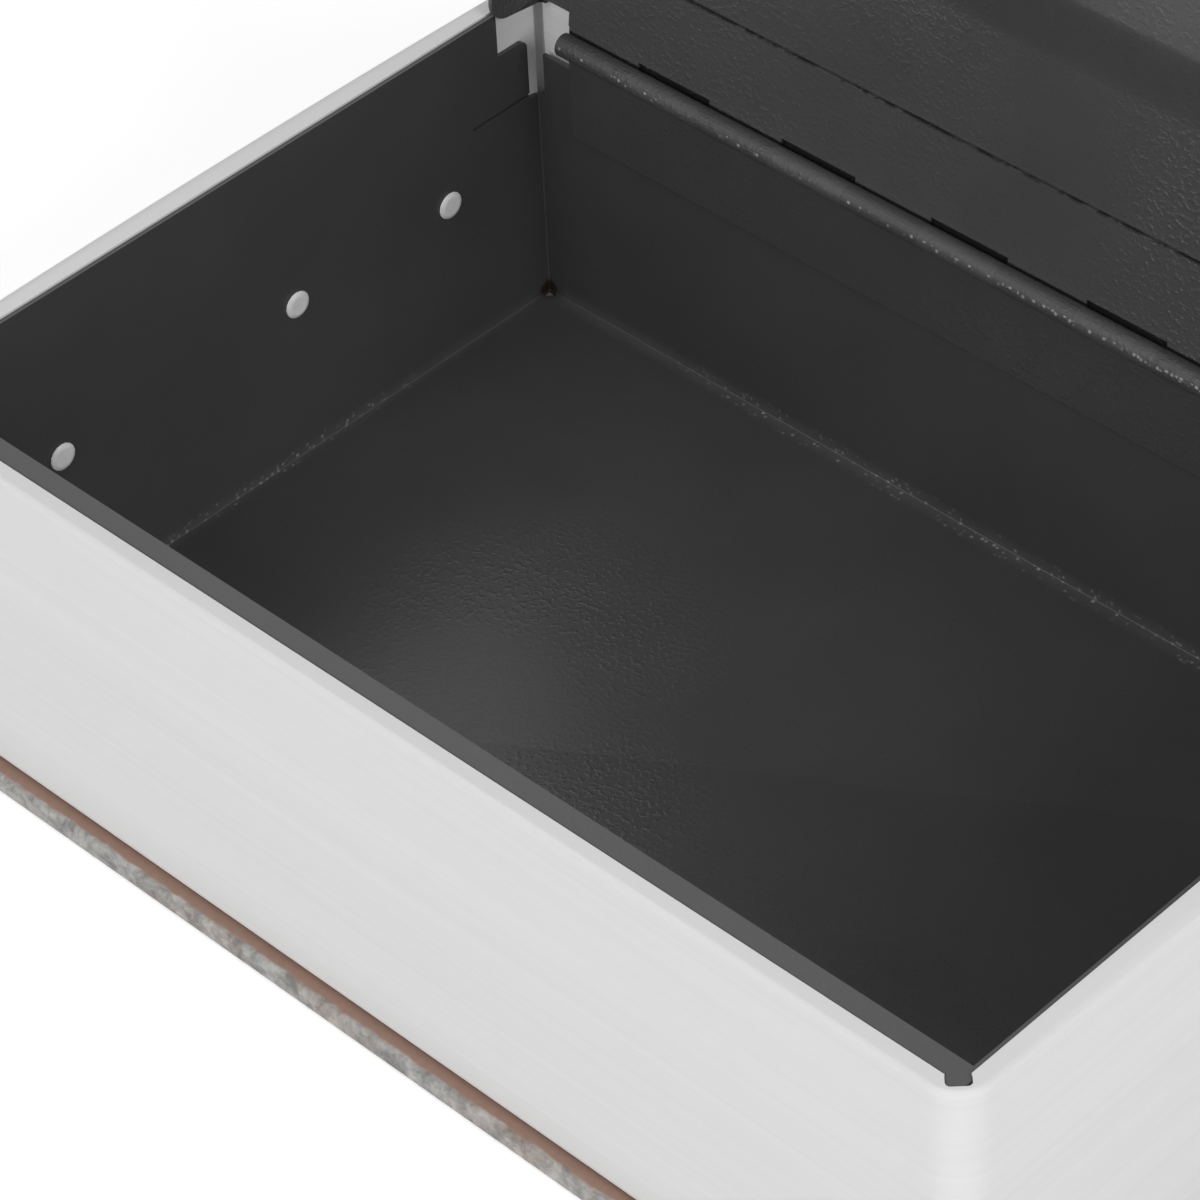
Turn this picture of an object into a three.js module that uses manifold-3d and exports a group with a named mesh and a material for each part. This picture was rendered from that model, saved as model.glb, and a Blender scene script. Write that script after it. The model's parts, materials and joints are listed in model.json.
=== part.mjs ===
// Book diversion safe: a hinged steel lock box inside a hardback book, shown open.
// Millimetres, +Z up. x runs along the spine, y from the fore edge to the spine.
// The origin is on the underside of the back cover, below the middle of the steel tray.
// The lid, its lock and the front cover are drawn closed and then turned open about their hinge lines.
import * as THREE from 'three';
import { mergeVertices } from 'three/addons/utils/BufferGeometryUtils.js';
import Module from 'manifold-3d';

const wasm = await Module();
wasm.setup();

// Steel tray, inside sizes
const trayLength = 169;
const trayDepth = 109.9;
const trayHeight = 50;
const steelSheet = 0.6;
const bendRadius = 1.2;
const rimBendRadius = 0.5;
const foldedCornerRadius = 1.6;
const foreFlangeWidth = 3;
const cornerKeyWidth = 2.7;
const cornerKeyReach = 0.35;
const cornerKeyRound = 0.6;
const rearWallDrop = 9.6;
const rearNotchLength = 7;
const rearNotchDrop = 6.8;
const notchCornerRadius = 1.3;
const cornerSlotDrop = 16.5;
const cornerSlotLength = 1.6;
const rearWallEndGap = 1.25;
const reliefSlitLength = 12.3;
const reliefSlitHeight = 0.4;
const reliefSlitRise = 0.5;
const cornerReliefRadius = 1.5;
const cornerReliefInset = 0.15;

// Page block
const pageWall = 2.55;
const pageGap = 0.05;
const pageRise = 0.3;
const rearPageGap = 0.85;
const pageCornerRadius = 5;
const pageSpineCornerRadius = 1.6;
const pageEdgeRound = 0.8;
const pageGrooveWidth = 1.3;
const pageGrooveDepth = 1.1;
const pageGrooveRound = 0.3;
const cornerKeyClearance = 0.1;
const pageNotchDepth = 1.3;

// Book covers
const boardCore = 2.4;
const coverSheet = 0.3;
const endpaperSheet = 0.25;
const glueLine = 0.05;
const boardEdgeRound = 0.8;
const boardCornerRadius = 1;
const coverOverhang = 2.1;
const turnInWidth = 14;
const endpaperMargin = 3;
const coverClearance = 0.5;
const grooveWidth = 8;
const grooveSlope = 1.6;
const grooveRise = 1.35;
const spineLipWidth = 2.25;
const spineCornerRadius = 1.2;
const coverRestGap = 0.3;
const jointStripThickness = 0.8;
const jointStripGap = 0.4;
const jointSheetShare = 0.9;

// Hinge
const knuckleRadius = 1.65;
const hingeSheet = 0.6;
const knuckleLength = 12.6;
const knuckleCount = 12;
const knuckleGap = 0.3;
const hingeEndMargin = 7;
const trayLeafWidth = 16;
const lidLeafWidth = 14.9;
const knuckleSlotDepth = 2.3;
const hingePinRadius = 0.75;
const rollEndDegrees = 295;

// Lid
const lidOpenDegrees = 97;
const lidSideGap = 0.5;
const lidFrontGap = 0.8;
const lidRecess = 2;
const lidHeel = 3.9;
const lidFlangeHeel = 3.3;
const lidTongueHeel = 0.3;
const lidPlateCorner = 1.4;
const lidFlangeDepth = 10;
const lidFlangeRound = 3;
const lidCornerSlit = 0.6;
const pressDepth = 2.4;
const pressRamp = 8;
const pressRearMargin = 33;
const pressSideMargin = 24;
const pressFrontMargin = 3;
const pressCornerRadius = 12;
const pressSoftShare = 0.5;

// Cam lock
const lockSetback = 20;
const bezelRadius = 8.5;
const bezelHeight = 2;
const bezelRound = 0.6;
const lockBodyRadius = 6;
const lockBodyFlat = 5.2;
const lockHoleClearance = 0.3;
const plugRadius = 4;
const plugHeadRadius = 5;
const plugHeadHeight = 1.5;
const plugSquare = 5;
const keyholeWidth = 1.3;
const keyholeLength = 6.4;
const keyholeDepth = 8;
const camThickness = 1.6;
const camHubRadius = 6.5;
const camReach = 19.5;
const camArmWidth = 9;
const camTipRound = 2;
const camShelfGap = 0.4;
const lockNutFlats = 16;
const lockNutHeight = 2.5;
const lockWasherRadius = 8.2;
const lockWasherHeight = 0.8;
const camWasherRadius = 4.4;
const camWasherHeight = 0.8;
const camScrewRadius = 1.4;
const camScrewHeadRadius = 2.9;
const camScrewHeadHeight = 1.8;
const camScrewLength = 5;
const screwCrownShare = 0.8;
const screwCrossShare = 0.6;

// Strike bracket
const strikeWidth = 30;
const strikeReach = 7;
const strikeSheet = 1;
const strikeLegHeight = 9;
const strikeCorner = 3;
const lidRestGap = 0.3;

// Plastic pins
const pinHeadRadius = 2;
const pinHeadHeight = 0.5;
const pinShankRadius = 1.35;
const pinHoleClearance = 0.25;
const pinSocketDepth = 1.5;
const pinHeightShare = 0.496;
const sidePinShares = [0.21, 0.583, 0.84];
const forePinShares = [0.12, 0.36, 0.64, 0.88];
const pinCrownShare = 0.7;

// Fits and cutting
const runningGap = 0.3;
const overrun = 5;
const roundSteps = 6;
const hiddenSteps = 2;
const circleSteps = 32;

// Places worked out from the sizes above
const halfLength = trayLength / 2;
const foreWallInner = -trayDepth / 2;
const foreWallOuter = foreWallInner - steelSheet;
const rearWallInner = trayDepth / 2;
const rearWallOuter = rearWallInner + steelSheet;
const pageHalfLength = halfLength + steelSheet + pageGap + pageWall;
const pageForeY = foreWallOuter - pageGap - pageWall;
const pageRearInnerY = rearWallOuter + rearPageGap;
const pageRearY = pageRearInnerY + pageWall;
const wrapInset = coverSheet + glueLine;
const boardThickness = boardCore + 2 * wrapInset;
const coverHalfLength = pageHalfLength + coverOverhang;
const coverForeY = pageForeY - coverOverhang;
const spineInnerY = pageRearY + glueLine;
const spineOuterY = spineInnerY + boardThickness;
const boardSpineEdgeY = spineOuterY - grooveWidth;
const boxBottomZ = boardThickness + endpaperSheet + 2 * glueLine;
const floorZ = boxBottomZ + steelSheet;
const rimZ = floorZ + trayHeight;
const pageTopZ = rimZ + pageRise;
const closedTopZ = rimZ + coverClearance + endpaperSheet + glueLine + boardThickness;
const hingeY = rearWallInner - glueLine - knuckleRadius;
const hingeZ = rimZ - lidRecess - steelSheet - glueLine - knuckleRadius;
const hingeStartX = -halfLength + hingeEndMargin;
const hingeEndX = hingeStartX + knuckleCount * knuckleLength;
const lidHalfLength = halfLength - lidSideGap;
const lidForeY = foreWallOuter + foreFlangeWidth + lidFrontGap;
const lidHeelY = hingeY - lidHeel;
const lidFlangeHeelY = hingeY - lidFlangeHeel;
const lidInnerZ = hingeZ + knuckleRadius + glueLine;
const lidTopZ = lidInnerZ + steelSheet;
const lidBottomZ = lidTopZ - lidFlangeDepth;
const lockY = lidForeY + lockSetback;
const pressTopZ = lidTopZ - pressDepth;
const strikeTopZ = lidBottomZ - lidRestGap;
const camTopZ = strikeTopZ - strikeSheet - camShelfGap;
const spineLowZ = 2 * spineCornerRadius;
const spineHighZ = closedTopZ - jointStripGap;
const coverHingeY = spineOuterY - coverSheet;
const coverHingeZ = closedTopZ - coverSheet / 2;
const coverReachY = coverHingeY - coverForeY;
const coverRestTilt = Math.asin((coverHingeZ - coverSheet - coverRestGap) / coverReachY);
const lidOpenAngle = THREE.MathUtils.degToRad(lidOpenDegrees);
const coverOpenAngle = Math.PI + coverRestTilt;

// A closed three.js geometry as a solid for joining and cutting
function solidFrom(geometry) {
  geometry.deleteAttribute('normal');
  geometry.deleteAttribute('uv');
  const merged = mergeVertices(geometry);
  const corners = Array.from(merged.index.array);
  const faces = [];
  for (let i = 0; i < corners.length; i += 3) {
    const face = corners.slice(i, i + 3);
    if (new Set(face).size === 3) {
      faces.push(...face);
    }
  }
  const mesh = new wasm.Mesh({
    numProp: 3,
    vertProperties: new Float32Array(merged.attributes.position.array),
    triVerts: new Uint32Array(faces),
  });
  return new wasm.Manifold(mesh);
}

// A finished solid as a three.js geometry with flat faces
function geometryFrom(solid) {
  const mesh = solid.getMesh();
  const indexed = new THREE.BufferGeometry();
  indexed.setAttribute('position', new THREE.BufferAttribute(mesh.vertProperties, 3));
  indexed.setIndex(new THREE.BufferAttribute(mesh.triVerts, 1));
  const geometry = indexed.toNonIndexed();
  geometry.computeVertexNormals();
  return geometry;
}

// A solid carried to its place by a matrix
function placed(solid, matrix) {
  const geometry = geometryFrom(solid);
  geometry.applyMatrix4(matrix);
  return solidFrom(geometry);
}

// Two places in rising order, on one side of the middle
function onSide(side, from, to) {
  return [side * from, side * to].sort((a, b) => a - b);
}

// A rectangular block between two places on each axis
function block(x, y, z) {
  const geometry = new THREE.BoxGeometry(x[1] - x[0], y[1] - y[0], z[1] - z[0]);
  geometry.translate((x[0] + x[1]) / 2, (y[0] + y[1]) / 2, (z[0] + z[1]) / 2);
  return solidFrom(geometry);
}

// The turn that lays a drawing's plane square to an axis: y and z for x, z and x for y, x and y for z
function planeTurn(axis) {
  const x = new THREE.Vector3(1, 0, 0);
  const y = new THREE.Vector3(0, 1, 0);
  const z = new THREE.Vector3(0, 0, 1);
  const turns = { x: [y, z, x], y: [z, x, y], z: [x, y, z] };
  return new THREE.Matrix4().makeBasis(...turns[axis]);
}

// A flat drawing pulled along an axis from one place to another
function prism(axis, shape, low, high) {
  const options = { depth: high - low, bevelEnabled: false, curveSegments: roundSteps };
  const geometry = new THREE.ExtrudeGeometry(shape, options);
  geometry.translate(0, 0, low);
  geometry.applyMatrix4(planeTurn(axis));
  return solidFrom(geometry);
}

// A round rod along an axis; the centre is given in the drawing plane of that axis
function rod(axis, radius, low, high, centre = [0, 0], steps = circleSteps) {
  const geometry = new THREE.CylinderGeometry(radius, radius, high - low, steps);
  geometry.rotateX(Math.PI / 2);
  geometry.translate(centre[0], centre[1], (low + high) / 2);
  geometry.applyMatrix4(planeTurn(axis));
  return solidFrom(geometry);
}

// A solid of revolution from (radius, place) pairs in rising order along an axis
function turned(axis, profile, centre, steps = circleSteps) {
  const points = profile.map(([radius, place]) => new THREE.Vector2(radius, place));
  const geometry = new THREE.LatheGeometry(points, steps);
  geometry.rotateX(Math.PI / 2);
  geometry.translate(centre[0], centre[1], 0);
  geometry.applyMatrix4(planeTurn(axis));
  return solidFrom(geometry);
}

// A straight-sided outline from (u, v) pairs
function outline(points) {
  return new THREE.Shape(points.map(([u, v]) => new THREE.Vector2(u, v)));
}

// A rectangle whose near corners and far corners have their own radii
function roundedOutline(x, y, nearRadius, farRadius) {
  const shape = new THREE.Shape();
  const quarter = Math.PI / 2;
  shape.absarc(x[0] + nearRadius, y[0] + nearRadius, nearRadius, -2 * quarter, -quarter);
  shape.absarc(x[1] - nearRadius, y[0] + nearRadius, nearRadius, -quarter, 0);
  shape.absarc(x[1] - farRadius, y[1] - farRadius, farRadius, 0, quarter);
  shape.absarc(x[0] + farRadius, y[1] - farRadius, farRadius, quarter, 2 * quarter);
  shape.closePath();
  return shape;
}

// A slab with a rounded plan and rounded top and bottom edges
function slab(x, y, z, cornerRadius, farCornerRadius, edgeRound, steps = roundSteps) {
  const options = {
    depth: z[1] - z[0] - 2 * edgeRound,
    bevelThickness: edgeRound,
    bevelSize: edgeRound,
    bevelOffset: -edgeRound,
    bevelSegments: steps / 2,
    curveSegments: steps,
  };
  const geometry = new THREE.ExtrudeGeometry(roundedOutline(x, y, cornerRadius, farCornerRadius), options);
  geometry.translate(0, 0, z[0] + edgeRound);
  return solidFrom(geometry);
}

// What to cut from a square edge along an axis to round it: the corner point and the ways into the part
function edgeCutter(axis, corner, inward, radius, low, high) {
  const [u, v] = corner;
  const [du, dv] = inward;
  const square = outline([
    [u - du * overrun, v - dv * overrun],
    [u + du * radius, v - dv * overrun],
    [u + du * radius, v + dv * radius],
    [u - du * overrun, v + dv * radius],
  ]);
  const centre = [u + du * radius, v + dv * radius];
  return prism(axis, square, low, high).subtract(rod(axis, radius, low - overrun, high + overrun, centre));
}

// A thin strip that follows a path drawn in the y and z plane
function ribbonOutline(path, thickness) {
  const points = path.getPoints(roundSteps);
  const sides = [[], []];
  points.forEach((point, i) => {
    const along = new THREE.Vector2();
    if (i > 0) {
      along.add(point.clone().sub(points[i - 1]).normalize());
    }
    if (i < points.length - 1) {
      along.add(points[i + 1].clone().sub(point).normalize());
    }
    along.normalize();
    const across = new THREE.Vector2(-along.y, along.x).multiplyScalar(thickness / 2);
    sides[0].push([point.x - across.x, point.y - across.y]);
    sides[1].push([point.x + across.x, point.y + across.y]);
  });
  return outline([...sides[0], ...sides[1].reverse()]);
}

// A closed solid through a stack of rings that have the same number of points
function loft(rings) {
  const count = rings[0].length;
  const positions = rings.flat().flatMap((p) => [p.x, p.y, p.z]);
  const faces = [];
  for (let r = 0; r < rings.length - 1; r += 1) {
    for (let i = 0; i < count; i += 1) {
      const a = r * count + i;
      const b = r * count + (i + 1) % count;
      faces.push(a, b, b + count, a, b + count, a + count);
    }
  }
  const last = (rings.length - 1) * count;
  for (let i = 1; i < count - 1; i += 1) {
    faces.push(0, i + 1, i);
    faces.push(last, last + i, last + i + 1);
  }
  const geometry = new THREE.BufferGeometry();
  geometry.setAttribute('position', new THREE.Float32BufferAttribute(positions, 3));
  geometry.setIndex(faces);
  return solidFrom(geometry);
}

// Cover boards

// The cover sheet round one board: outer face, three turned edges, and turn-ins on the inner face.
// The edge towards a joint is left open, because the sheet runs on over the joint.
function wrapSheet(halfLength, y, nearEdgeTurned) {
  const near = nearEdgeTurned ? y[0] : y[0] - overrun;
  const far = y[1] + overrun;
  const x = [-halfLength, halfLength];
  const shell = slab(x, [near, far], [0, boardThickness], boardCornerRadius, boardCornerRadius, boardEdgeRound);
  const cavityX = [-halfLength + coverSheet, halfLength - coverSheet];
  const cavityNear = nearEdgeTurned ? near + coverSheet : near - overrun;
  const cavityZ = [coverSheet, boardThickness - coverSheet];
  const cavityCorner = boardCornerRadius - coverSheet;
  const cavityEdge = boardEdgeRound - coverSheet;
  const cavity = slab(cavityX, [cavityNear, far + overrun], cavityZ, cavityCorner, cavityCorner, cavityEdge);
  const windowX = [-halfLength + turnInWidth, halfLength - turnInWidth];
  const windowNear = nearEdgeTurned ? near + turnInWidth : near - overrun;
  const opening = block(windowX, [windowNear, far + overrun], [boardThickness / 2, boardThickness + overrun]);
  const wide = [-halfLength - overrun, halfLength + overrun];
  const tall = [-overrun, boardThickness + overrun];
  let sheet = shell.subtract(cavity).subtract(opening);
  sheet = sheet.subtract(block(wide, [y[1], far + overrun], tall));
  return nearEdgeTurned ? sheet : sheet.subtract(block(wide, [near - overrun, y[0]], tall));
}

// The stiff board inside the sheet
function coreBoard(halfLength, y) {
  const x = [-halfLength + wrapInset, halfLength - wrapInset];
  const z = [wrapInset, wrapInset + boardCore];
  const corner = boardCornerRadius - wrapInset;
  return slab(x, y, z, corner, corner, boardEdgeRound - wrapInset, hiddenSteps);
}

// The flat cover: its board, its sheet and its endpaper, outer face down
const coverY = [coverForeY, boardSpineEdgeY];
const coverCoreY = [coverForeY + wrapInset, boardSpineEdgeY - glueLine];

function endpaper(x, y) {
  return block(x, y, [boardThickness + glueLine, boardThickness + glueLine + endpaperSheet]);
}

// The back cover's sheet runs under the box, dips into the joint groove, turns up and goes up the spine
function coverSheetBackAndSpine() {
  const back = wrapSheet(coverHalfLength, coverY, true);
  const middle = coverSheet / 2;
  const spineMiddle = spineOuterY - middle;
  const grooveEndY = spineOuterY - spineLipWidth;
  const groove = new THREE.CurvePath();
  const path = [
    [boardSpineEdgeY - grooveSlope, middle],
    [boardSpineEdgeY, middle],
    [boardSpineEdgeY + grooveSlope, grooveRise],
    [grooveEndY - grooveSlope, grooveRise],
    [grooveEndY, middle],
    [spineOuterY - spineCornerRadius - middle, middle],
  ].map(([y, z]) => new THREE.Vector2(y, z));
  groove.add(new THREE.LineCurve(path[0], path[1]));
  groove.add(swayCurve(path[1], path[2]));
  groove.add(new THREE.LineCurve(path[2], path[3]));
  groove.add(swayCurve(path[3], path[4]));
  groove.add(new THREE.LineCurve(path[4], path[5]));
  const corner = new THREE.Vector2(spineMiddle, middle);
  const upright = new THREE.Vector2(spineMiddle, spineCornerRadius + middle);
  groove.add(new THREE.QuadraticBezierCurve(path[5], corner, upright));
  groove.add(new THREE.LineCurve(upright, new THREE.Vector2(spineMiddle, spineLowZ + spineCornerRadius)));
  const half = coverHalfLength - boardEdgeRound;
  const strip = prism('x', ribbonOutline(groove, coverSheet * jointSheetShare), -half, half);
  return back.add(strip).add(spineWrap());
}

// A level curve from one height to another, flat at both ends
function swayCurve(from, to) {
  const half = (from.x + to.x) / 2;
  const first = new THREE.Vector2(half, from.y);
  const second = new THREE.Vector2(half, to.y);
  return new THREE.CubicBezierCurve(from, first, second, to);
}

// A board lying outer face down is stood up on the spine, outer face to +y
function standOnSpine(solid) {
  const upright = new THREE.Matrix4().makeRotationX(Math.PI / 2);
  return placed(solid, new THREE.Matrix4().makeTranslation(0, spineOuterY, 0).multiply(upright));
}

function spineWrap() {
  return standOnSpine(wrapSheet(coverHalfLength, [spineLowZ, spineHighZ], false));
}

function spineBoard() {
  return standOnSpine(coreBoard(coverHalfLength, [spineLowZ, spineHighZ]));
}

// The bending strip from the top of the spine to the edge of the open front cover
function frontJoint() {
  const tilt = coverRestTilt;
  const down = new THREE.Vector2(Math.cos(tilt), -Math.sin(tilt));
  const up = new THREE.Vector2(Math.sin(tilt), Math.cos(tilt));
  const reach = coverHingeY - boardSpineEdgeY - jointStripGap;
  const end = new THREE.Vector2(coverHingeY, coverHingeZ).addScaledVector(down, reach);
  end.addScaledVector(up, boardThickness / 4);
  const height = closedTopZ + jointStripThickness / 2;
  const start = new THREE.Vector2(spineInnerY, height);
  const crest = new THREE.Vector2(spineOuterY, height);
  const path = new THREE.CurvePath();
  const before = crest.clone().addScaledVector(down, boardThickness / 2);
  path.add(new THREE.LineCurve(start, crest.clone().lerp(start, 1 / 2)));
  path.add(new THREE.QuadraticBezierCurve(crest.clone().lerp(start, 1 / 2), crest, before));
  path.add(new THREE.LineCurve(before, end));
  return prism('x', ribbonOutline(path, jointStripThickness), -coverHalfLength, coverHalfLength);
}

// Page block

function pageBlock() {
  const x = [-pageHalfLength, pageHalfLength];
  const y = [pageForeY, pageRearY];
  const z = [boxBottomZ, pageTopZ];
  const innerX = pageHalfLength - pageWall;
  const cavity = block([-innerX, innerX], [pageForeY + pageWall, pageRearInnerY], [z[0] - overrun, z[1] + overrun]);
  let ring = slab(x, y, z, pageCornerRadius, pageSpineCornerRadius, pageEdgeRound).subtract(cavity);
  const grooveWay = [-pageWall, pageGrooveDepth];
  for (const side of [-1, 1]) {
    ring = ring.subtract(cornerKey(side, cornerKeyClearance, rimZ - pageNotchDepth, pageTopZ + overrun));
    ring = ring.subtract(diagonalBar([side * innerX, pageRearInnerY], pageGrooveWidth / 2, grooveWay,
      pageGrooveRound, [z[0] - overrun, z[1] + overrun]));
  }
  for (const pin of pinPlaces()) {
    ring = ring.subtract(pinRod(pin, pinShankRadius + pinHoleClearance, -overrun, pinSocketEnd()));
  }
  return ring;
}

// An upright bar laid along a corner's diagonal; its y runs outwards from the corner
function diagonalBar(corner, halfWidth, y, round, z) {
  const bar = prism('z', roundedOutline([-halfWidth, halfWidth], y, round, round), z[0], z[1]);
  const outward = Math.atan2(Math.sign(corner[1]), Math.sign(corner[0]));
  const turn = new THREE.Matrix4().makeRotationZ(outward - Math.PI / 2);
  return placed(bar, new THREE.Matrix4().makeTranslation(corner[0], corner[1], 0).multiply(turn));
}

// The key at a fore corner: a short tongue past the steel's sharp corner.
// The tray has it as sheet at the rim, and the page block has a notch for it.
function cornerKey(side, clearance, low, high) {
  const corner = [side * (halfLength + steelSheet), foreWallOuter];
  const y = [-cornerKeyWidth / 2 - steelSheet / 2, cornerKeyReach + clearance];
  return diagonalBar(corner, cornerKeyWidth / 2 + clearance, y, cornerKeyRound, [low, high]);
}

// Steel tray

function trayBody() {
  const x = [-halfLength - steelSheet, halfLength + steelSheet];
  const wide = [x[0] - overrun, x[1] + overrun];
  const past = rearWallOuter + overrun;
  const above = rimZ + overrun;
  const y = [foreWallOuter, rearWallOuter];
  let tray = slab(x, y, [boxBottomZ, above], foldedCornerRadius, foldedCornerRadius, bendRadius);
  for (const side of [-1, 1]) {
    tray = tray.add(cornerKey(side, 0, rimZ - steelSheet, rimZ + bendRadius));
  }
  tray = tray.subtract(block(wide, [foreWallOuter - overrun, past], [rimZ, above + overrun]));
  const inner = [-halfLength, halfLength];
  tray = tray.subtract(block(inner, [foreWallInner, rearWallInner], [floorZ, rimZ - steelSheet]));
  tray = tray.subtract(block(inner, [foreWallOuter + foreFlangeWidth, rearWallInner], [floorZ, above]));
  const foldEnd = halfLength + steelSheet - cornerKeyWidth * Math.SQRT1_2;
  tray = tray.subtract(edgeCutter('x', [foreWallOuter, rimZ], [1, -1], rimBendRadius, -foldEnd, foldEnd));
  tray = tray.subtract(block(wide, [rearWallInner - steelSheet / 2, past], [rimZ - rearWallDrop, above]));
  const notchY = rearWallInner - rearNotchLength;
  const notchZ = rimZ - rearNotchDrop;
  tray = tray.subtract(block(wide, [notchY, past], [notchZ, above]));
  const slotY = rearWallInner - cornerSlotLength;
  const slotZ = rimZ - cornerSlotDrop;
  const clearX = [-halfLength + cornerReliefInset, halfLength - cornerReliefInset];
  const clearY = [foreWallInner + cornerReliefInset, rearWallInner - cornerReliefInset];
  for (const side of [-1, 1]) {
    const gap = onSide(side, halfLength - rearWallEndGap, halfLength + overrun);
    tray = tray.subtract(block(gap, [slotY, past], [slotZ, above]));
    const wall = onSide(side, halfLength - steelSheet, halfLength + overrun);
    tray = tray.subtract(edgeCutter('x', [slotY, notchZ], [-1, -1], notchCornerRadius, ...wall));
    const slitY = [rearWallInner - reliefSlitLength, past];
    const slitZ = slotZ + reliefSlitRise;
    tray = tray.subtract(block(wall, slitY, [slitZ, slitZ + reliefSlitHeight]));
    for (const cornerY of [foreWallInner, rearWallInner]) {
      const through = [boxBottomZ - overrun, rimZ - trayHeight / 2];
      const hole = rod('z', cornerReliefRadius, ...through, [side * halfLength, cornerY]);
      tray = tray.subtract(hole.intersect(block(clearX, clearY, through)));
    }
  }
  for (const pin of pinPlaces()) {
    tray = tray.subtract(pinRod(pin, pinShankRadius + pinHoleClearance, -steelSheet, 2 * steelSheet));
  }
  return tray;
}

// The angle piece inside the fore-edge wall: the closed lid rests on its shelf, the cam turns in under it
function strikeBracket() {
  const y0 = foreWallInner + glueLine;
  const half = strikeWidth / 2;
  const shelfLow = strikeTopZ - strikeSheet;
  const leg = block([-half, half], [y0, y0 + strikeSheet], [strikeTopZ - strikeLegHeight, strikeTopZ]);
  const shelf = prism('z', roundedOutline([-half, half], [y0, y0 + strikeReach], strikeSheet / 2, strikeCorner),
    shelfLow, strikeTopZ);
  return leg.add(shelf);
}

// Plastic pins

// Where each pin stands: on the inside of a wall, with the way out through that wall
function pinPlaces() {
  const z = floorZ + pinHeightShare * trayHeight;
  const places = [];
  for (const side of [-1, 1]) {
    sidePinShares.forEach((share, i) => {
      const name = side < 0 ? 'left' : 'right';
      places.push({ name: `page_pin_${name}_${i + 1}`, axis: 'x', side, along: foreWallInner + share * trayDepth, z });
    });
  }
  forePinShares.forEach((share, i) => {
    places.push({ name: `page_pin_fore_${i + 1}`, axis: 'y', side: -1, along: -halfLength + share * trayLength, z });
  });
  return places;
}

// A round bar at a pin's place, measured outwards from the inner face of its wall
function pinRod(pin, radius, from, to) {
  const face = pin.axis === 'x' ? halfLength : -foreWallInner;
  const ends = onSide(pin.side, face + from, face + to);
  const centre = pin.axis === 'x' ? [pin.along, pin.z] : [pin.z, pin.along];
  return rod(pin.axis, radius, ends[0], ends[1], centre, circleSteps / 2);
}

function pinSocketEnd() {
  return steelSheet + pageGap + pinSocketDepth;
}

// A pin from its low domed head to the end of its shank in the page block
function pagePin(pin) {
  const face = pin.axis === 'x' ? halfLength : -foreWallInner;
  const under = face - glueLine;
  const top = under - pinHeadHeight;
  const end = face + pinSocketEnd() - pinHoleClearance;
  const profile = [
    [0, top],
    [pinHeadRadius * pinCrownShare, top],
    [pinHeadRadius, top + pinHeadHeight / 2],
    [pinHeadRadius, under],
    [pinShankRadius, under],
    [pinShankRadius, end],
    [0, end],
  ];
  const placed = profile.map(([radius, place]) => [radius, pin.side * place]);
  const centre = pin.axis === 'x' ? [pin.along, pin.z] : [pin.z, pin.along];
  return turned(pin.axis, pin.side > 0 ? placed : placed.reverse(), centre, circleSteps / 2);
}

// Hinge

// A leaf's section with its rolled knuckle, about the hinge line; the leaf hangs down on the +u side
function knuckleOutline() {
  const inner = knuckleRadius - hingeSheet;
  const steps = 3 * roundSteps;
  const end = THREE.MathUtils.degToRad(rollEndDegrees);
  const outside = [];
  const inside = [];
  for (let i = 0; i <= steps; i += 1) {
    const angle = end * i / steps;
    outside.push([knuckleRadius * Math.cos(angle), knuckleRadius * Math.sin(angle)]);
    inside.push([inner * Math.cos(angle), inner * Math.sin(angle)]);
  }
  const low = -knuckleSlotDepth - hingeSheet;
  return [[knuckleRadius, low], ...outside, ...inside.reverse(), [inner, low]];
}

function leafOutline(width) {
  const inner = knuckleRadius - hingeSheet;
  return [
    [inner, -width],
    [knuckleRadius, -width],
    [knuckleRadius, -knuckleSlotDepth],
    [inner, -knuckleSlotDepth],
  ];
}

// The leaf that takes every second knuckle, from the first or from the second
function hingeLeaf(first, width, place) {
  const flat = leafOutline(width).map(place);
  const rolled = knuckleOutline().map(place);
  let leaf = prism('x', outline(flat), hingeStartX, hingeEndX);
  for (let k = first; k < knuckleCount; k += 2) {
    const low = hingeStartX + k * knuckleLength + knuckleGap / 2;
    const high = low + knuckleLength - knuckleGap;
    leaf = leaf.add(prism('x', outline(rolled), low, high));
  }
  return leaf;
}

function trayLeaf() {
  return hingeLeaf(1, trayLeafWidth, ([u, v]) => [hingeY + u, hingeZ + v]);
}

// On the closed lid the same section is turned a quarter, so that the leaf lies flat under the plate
function lidLeaf() {
  return hingeLeaf(0, lidLeafWidth, ([u, v]) => [hingeY + v, hingeZ + u]);
}

function hingePin() {
  return rod('x', hingePinRadius, hingeStartX, hingeEndX, [hingeY, hingeZ], circleSteps / 2);
}

// Lid

function lidShell(inset, topZ) {
  const x = [-lidHalfLength + inset, lidHalfLength - inset];
  const y = [lidForeY + inset, lidFlangeHeelY + overrun];
  const z = [lidBottomZ - overrun, topZ];
  const corner = foldedCornerRadius - inset;
  return slab(x, y, z, corner, corner, bendRadius - inset);
}

// The wide shallow pressing in the lid: a soft ramp all round a flat floor
function lidPressing(topZ, floorThickness) {
  const rings = [];
  for (let i = 0; i <= roundSteps; i += 1) {
    const share = i / roundSteps;
    const depth = pressDepth * THREE.MathUtils.lerp(share, THREE.MathUtils.smoothstep(share, 0, 1), pressSoftShare);
    const inset = pressRamp * share;
    rings.push(pressRing(inset, topZ - depth));
  }
  rings.unshift(pressRing(0, topZ + floorThickness));
  return loft(rings.reverse());
}

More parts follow.
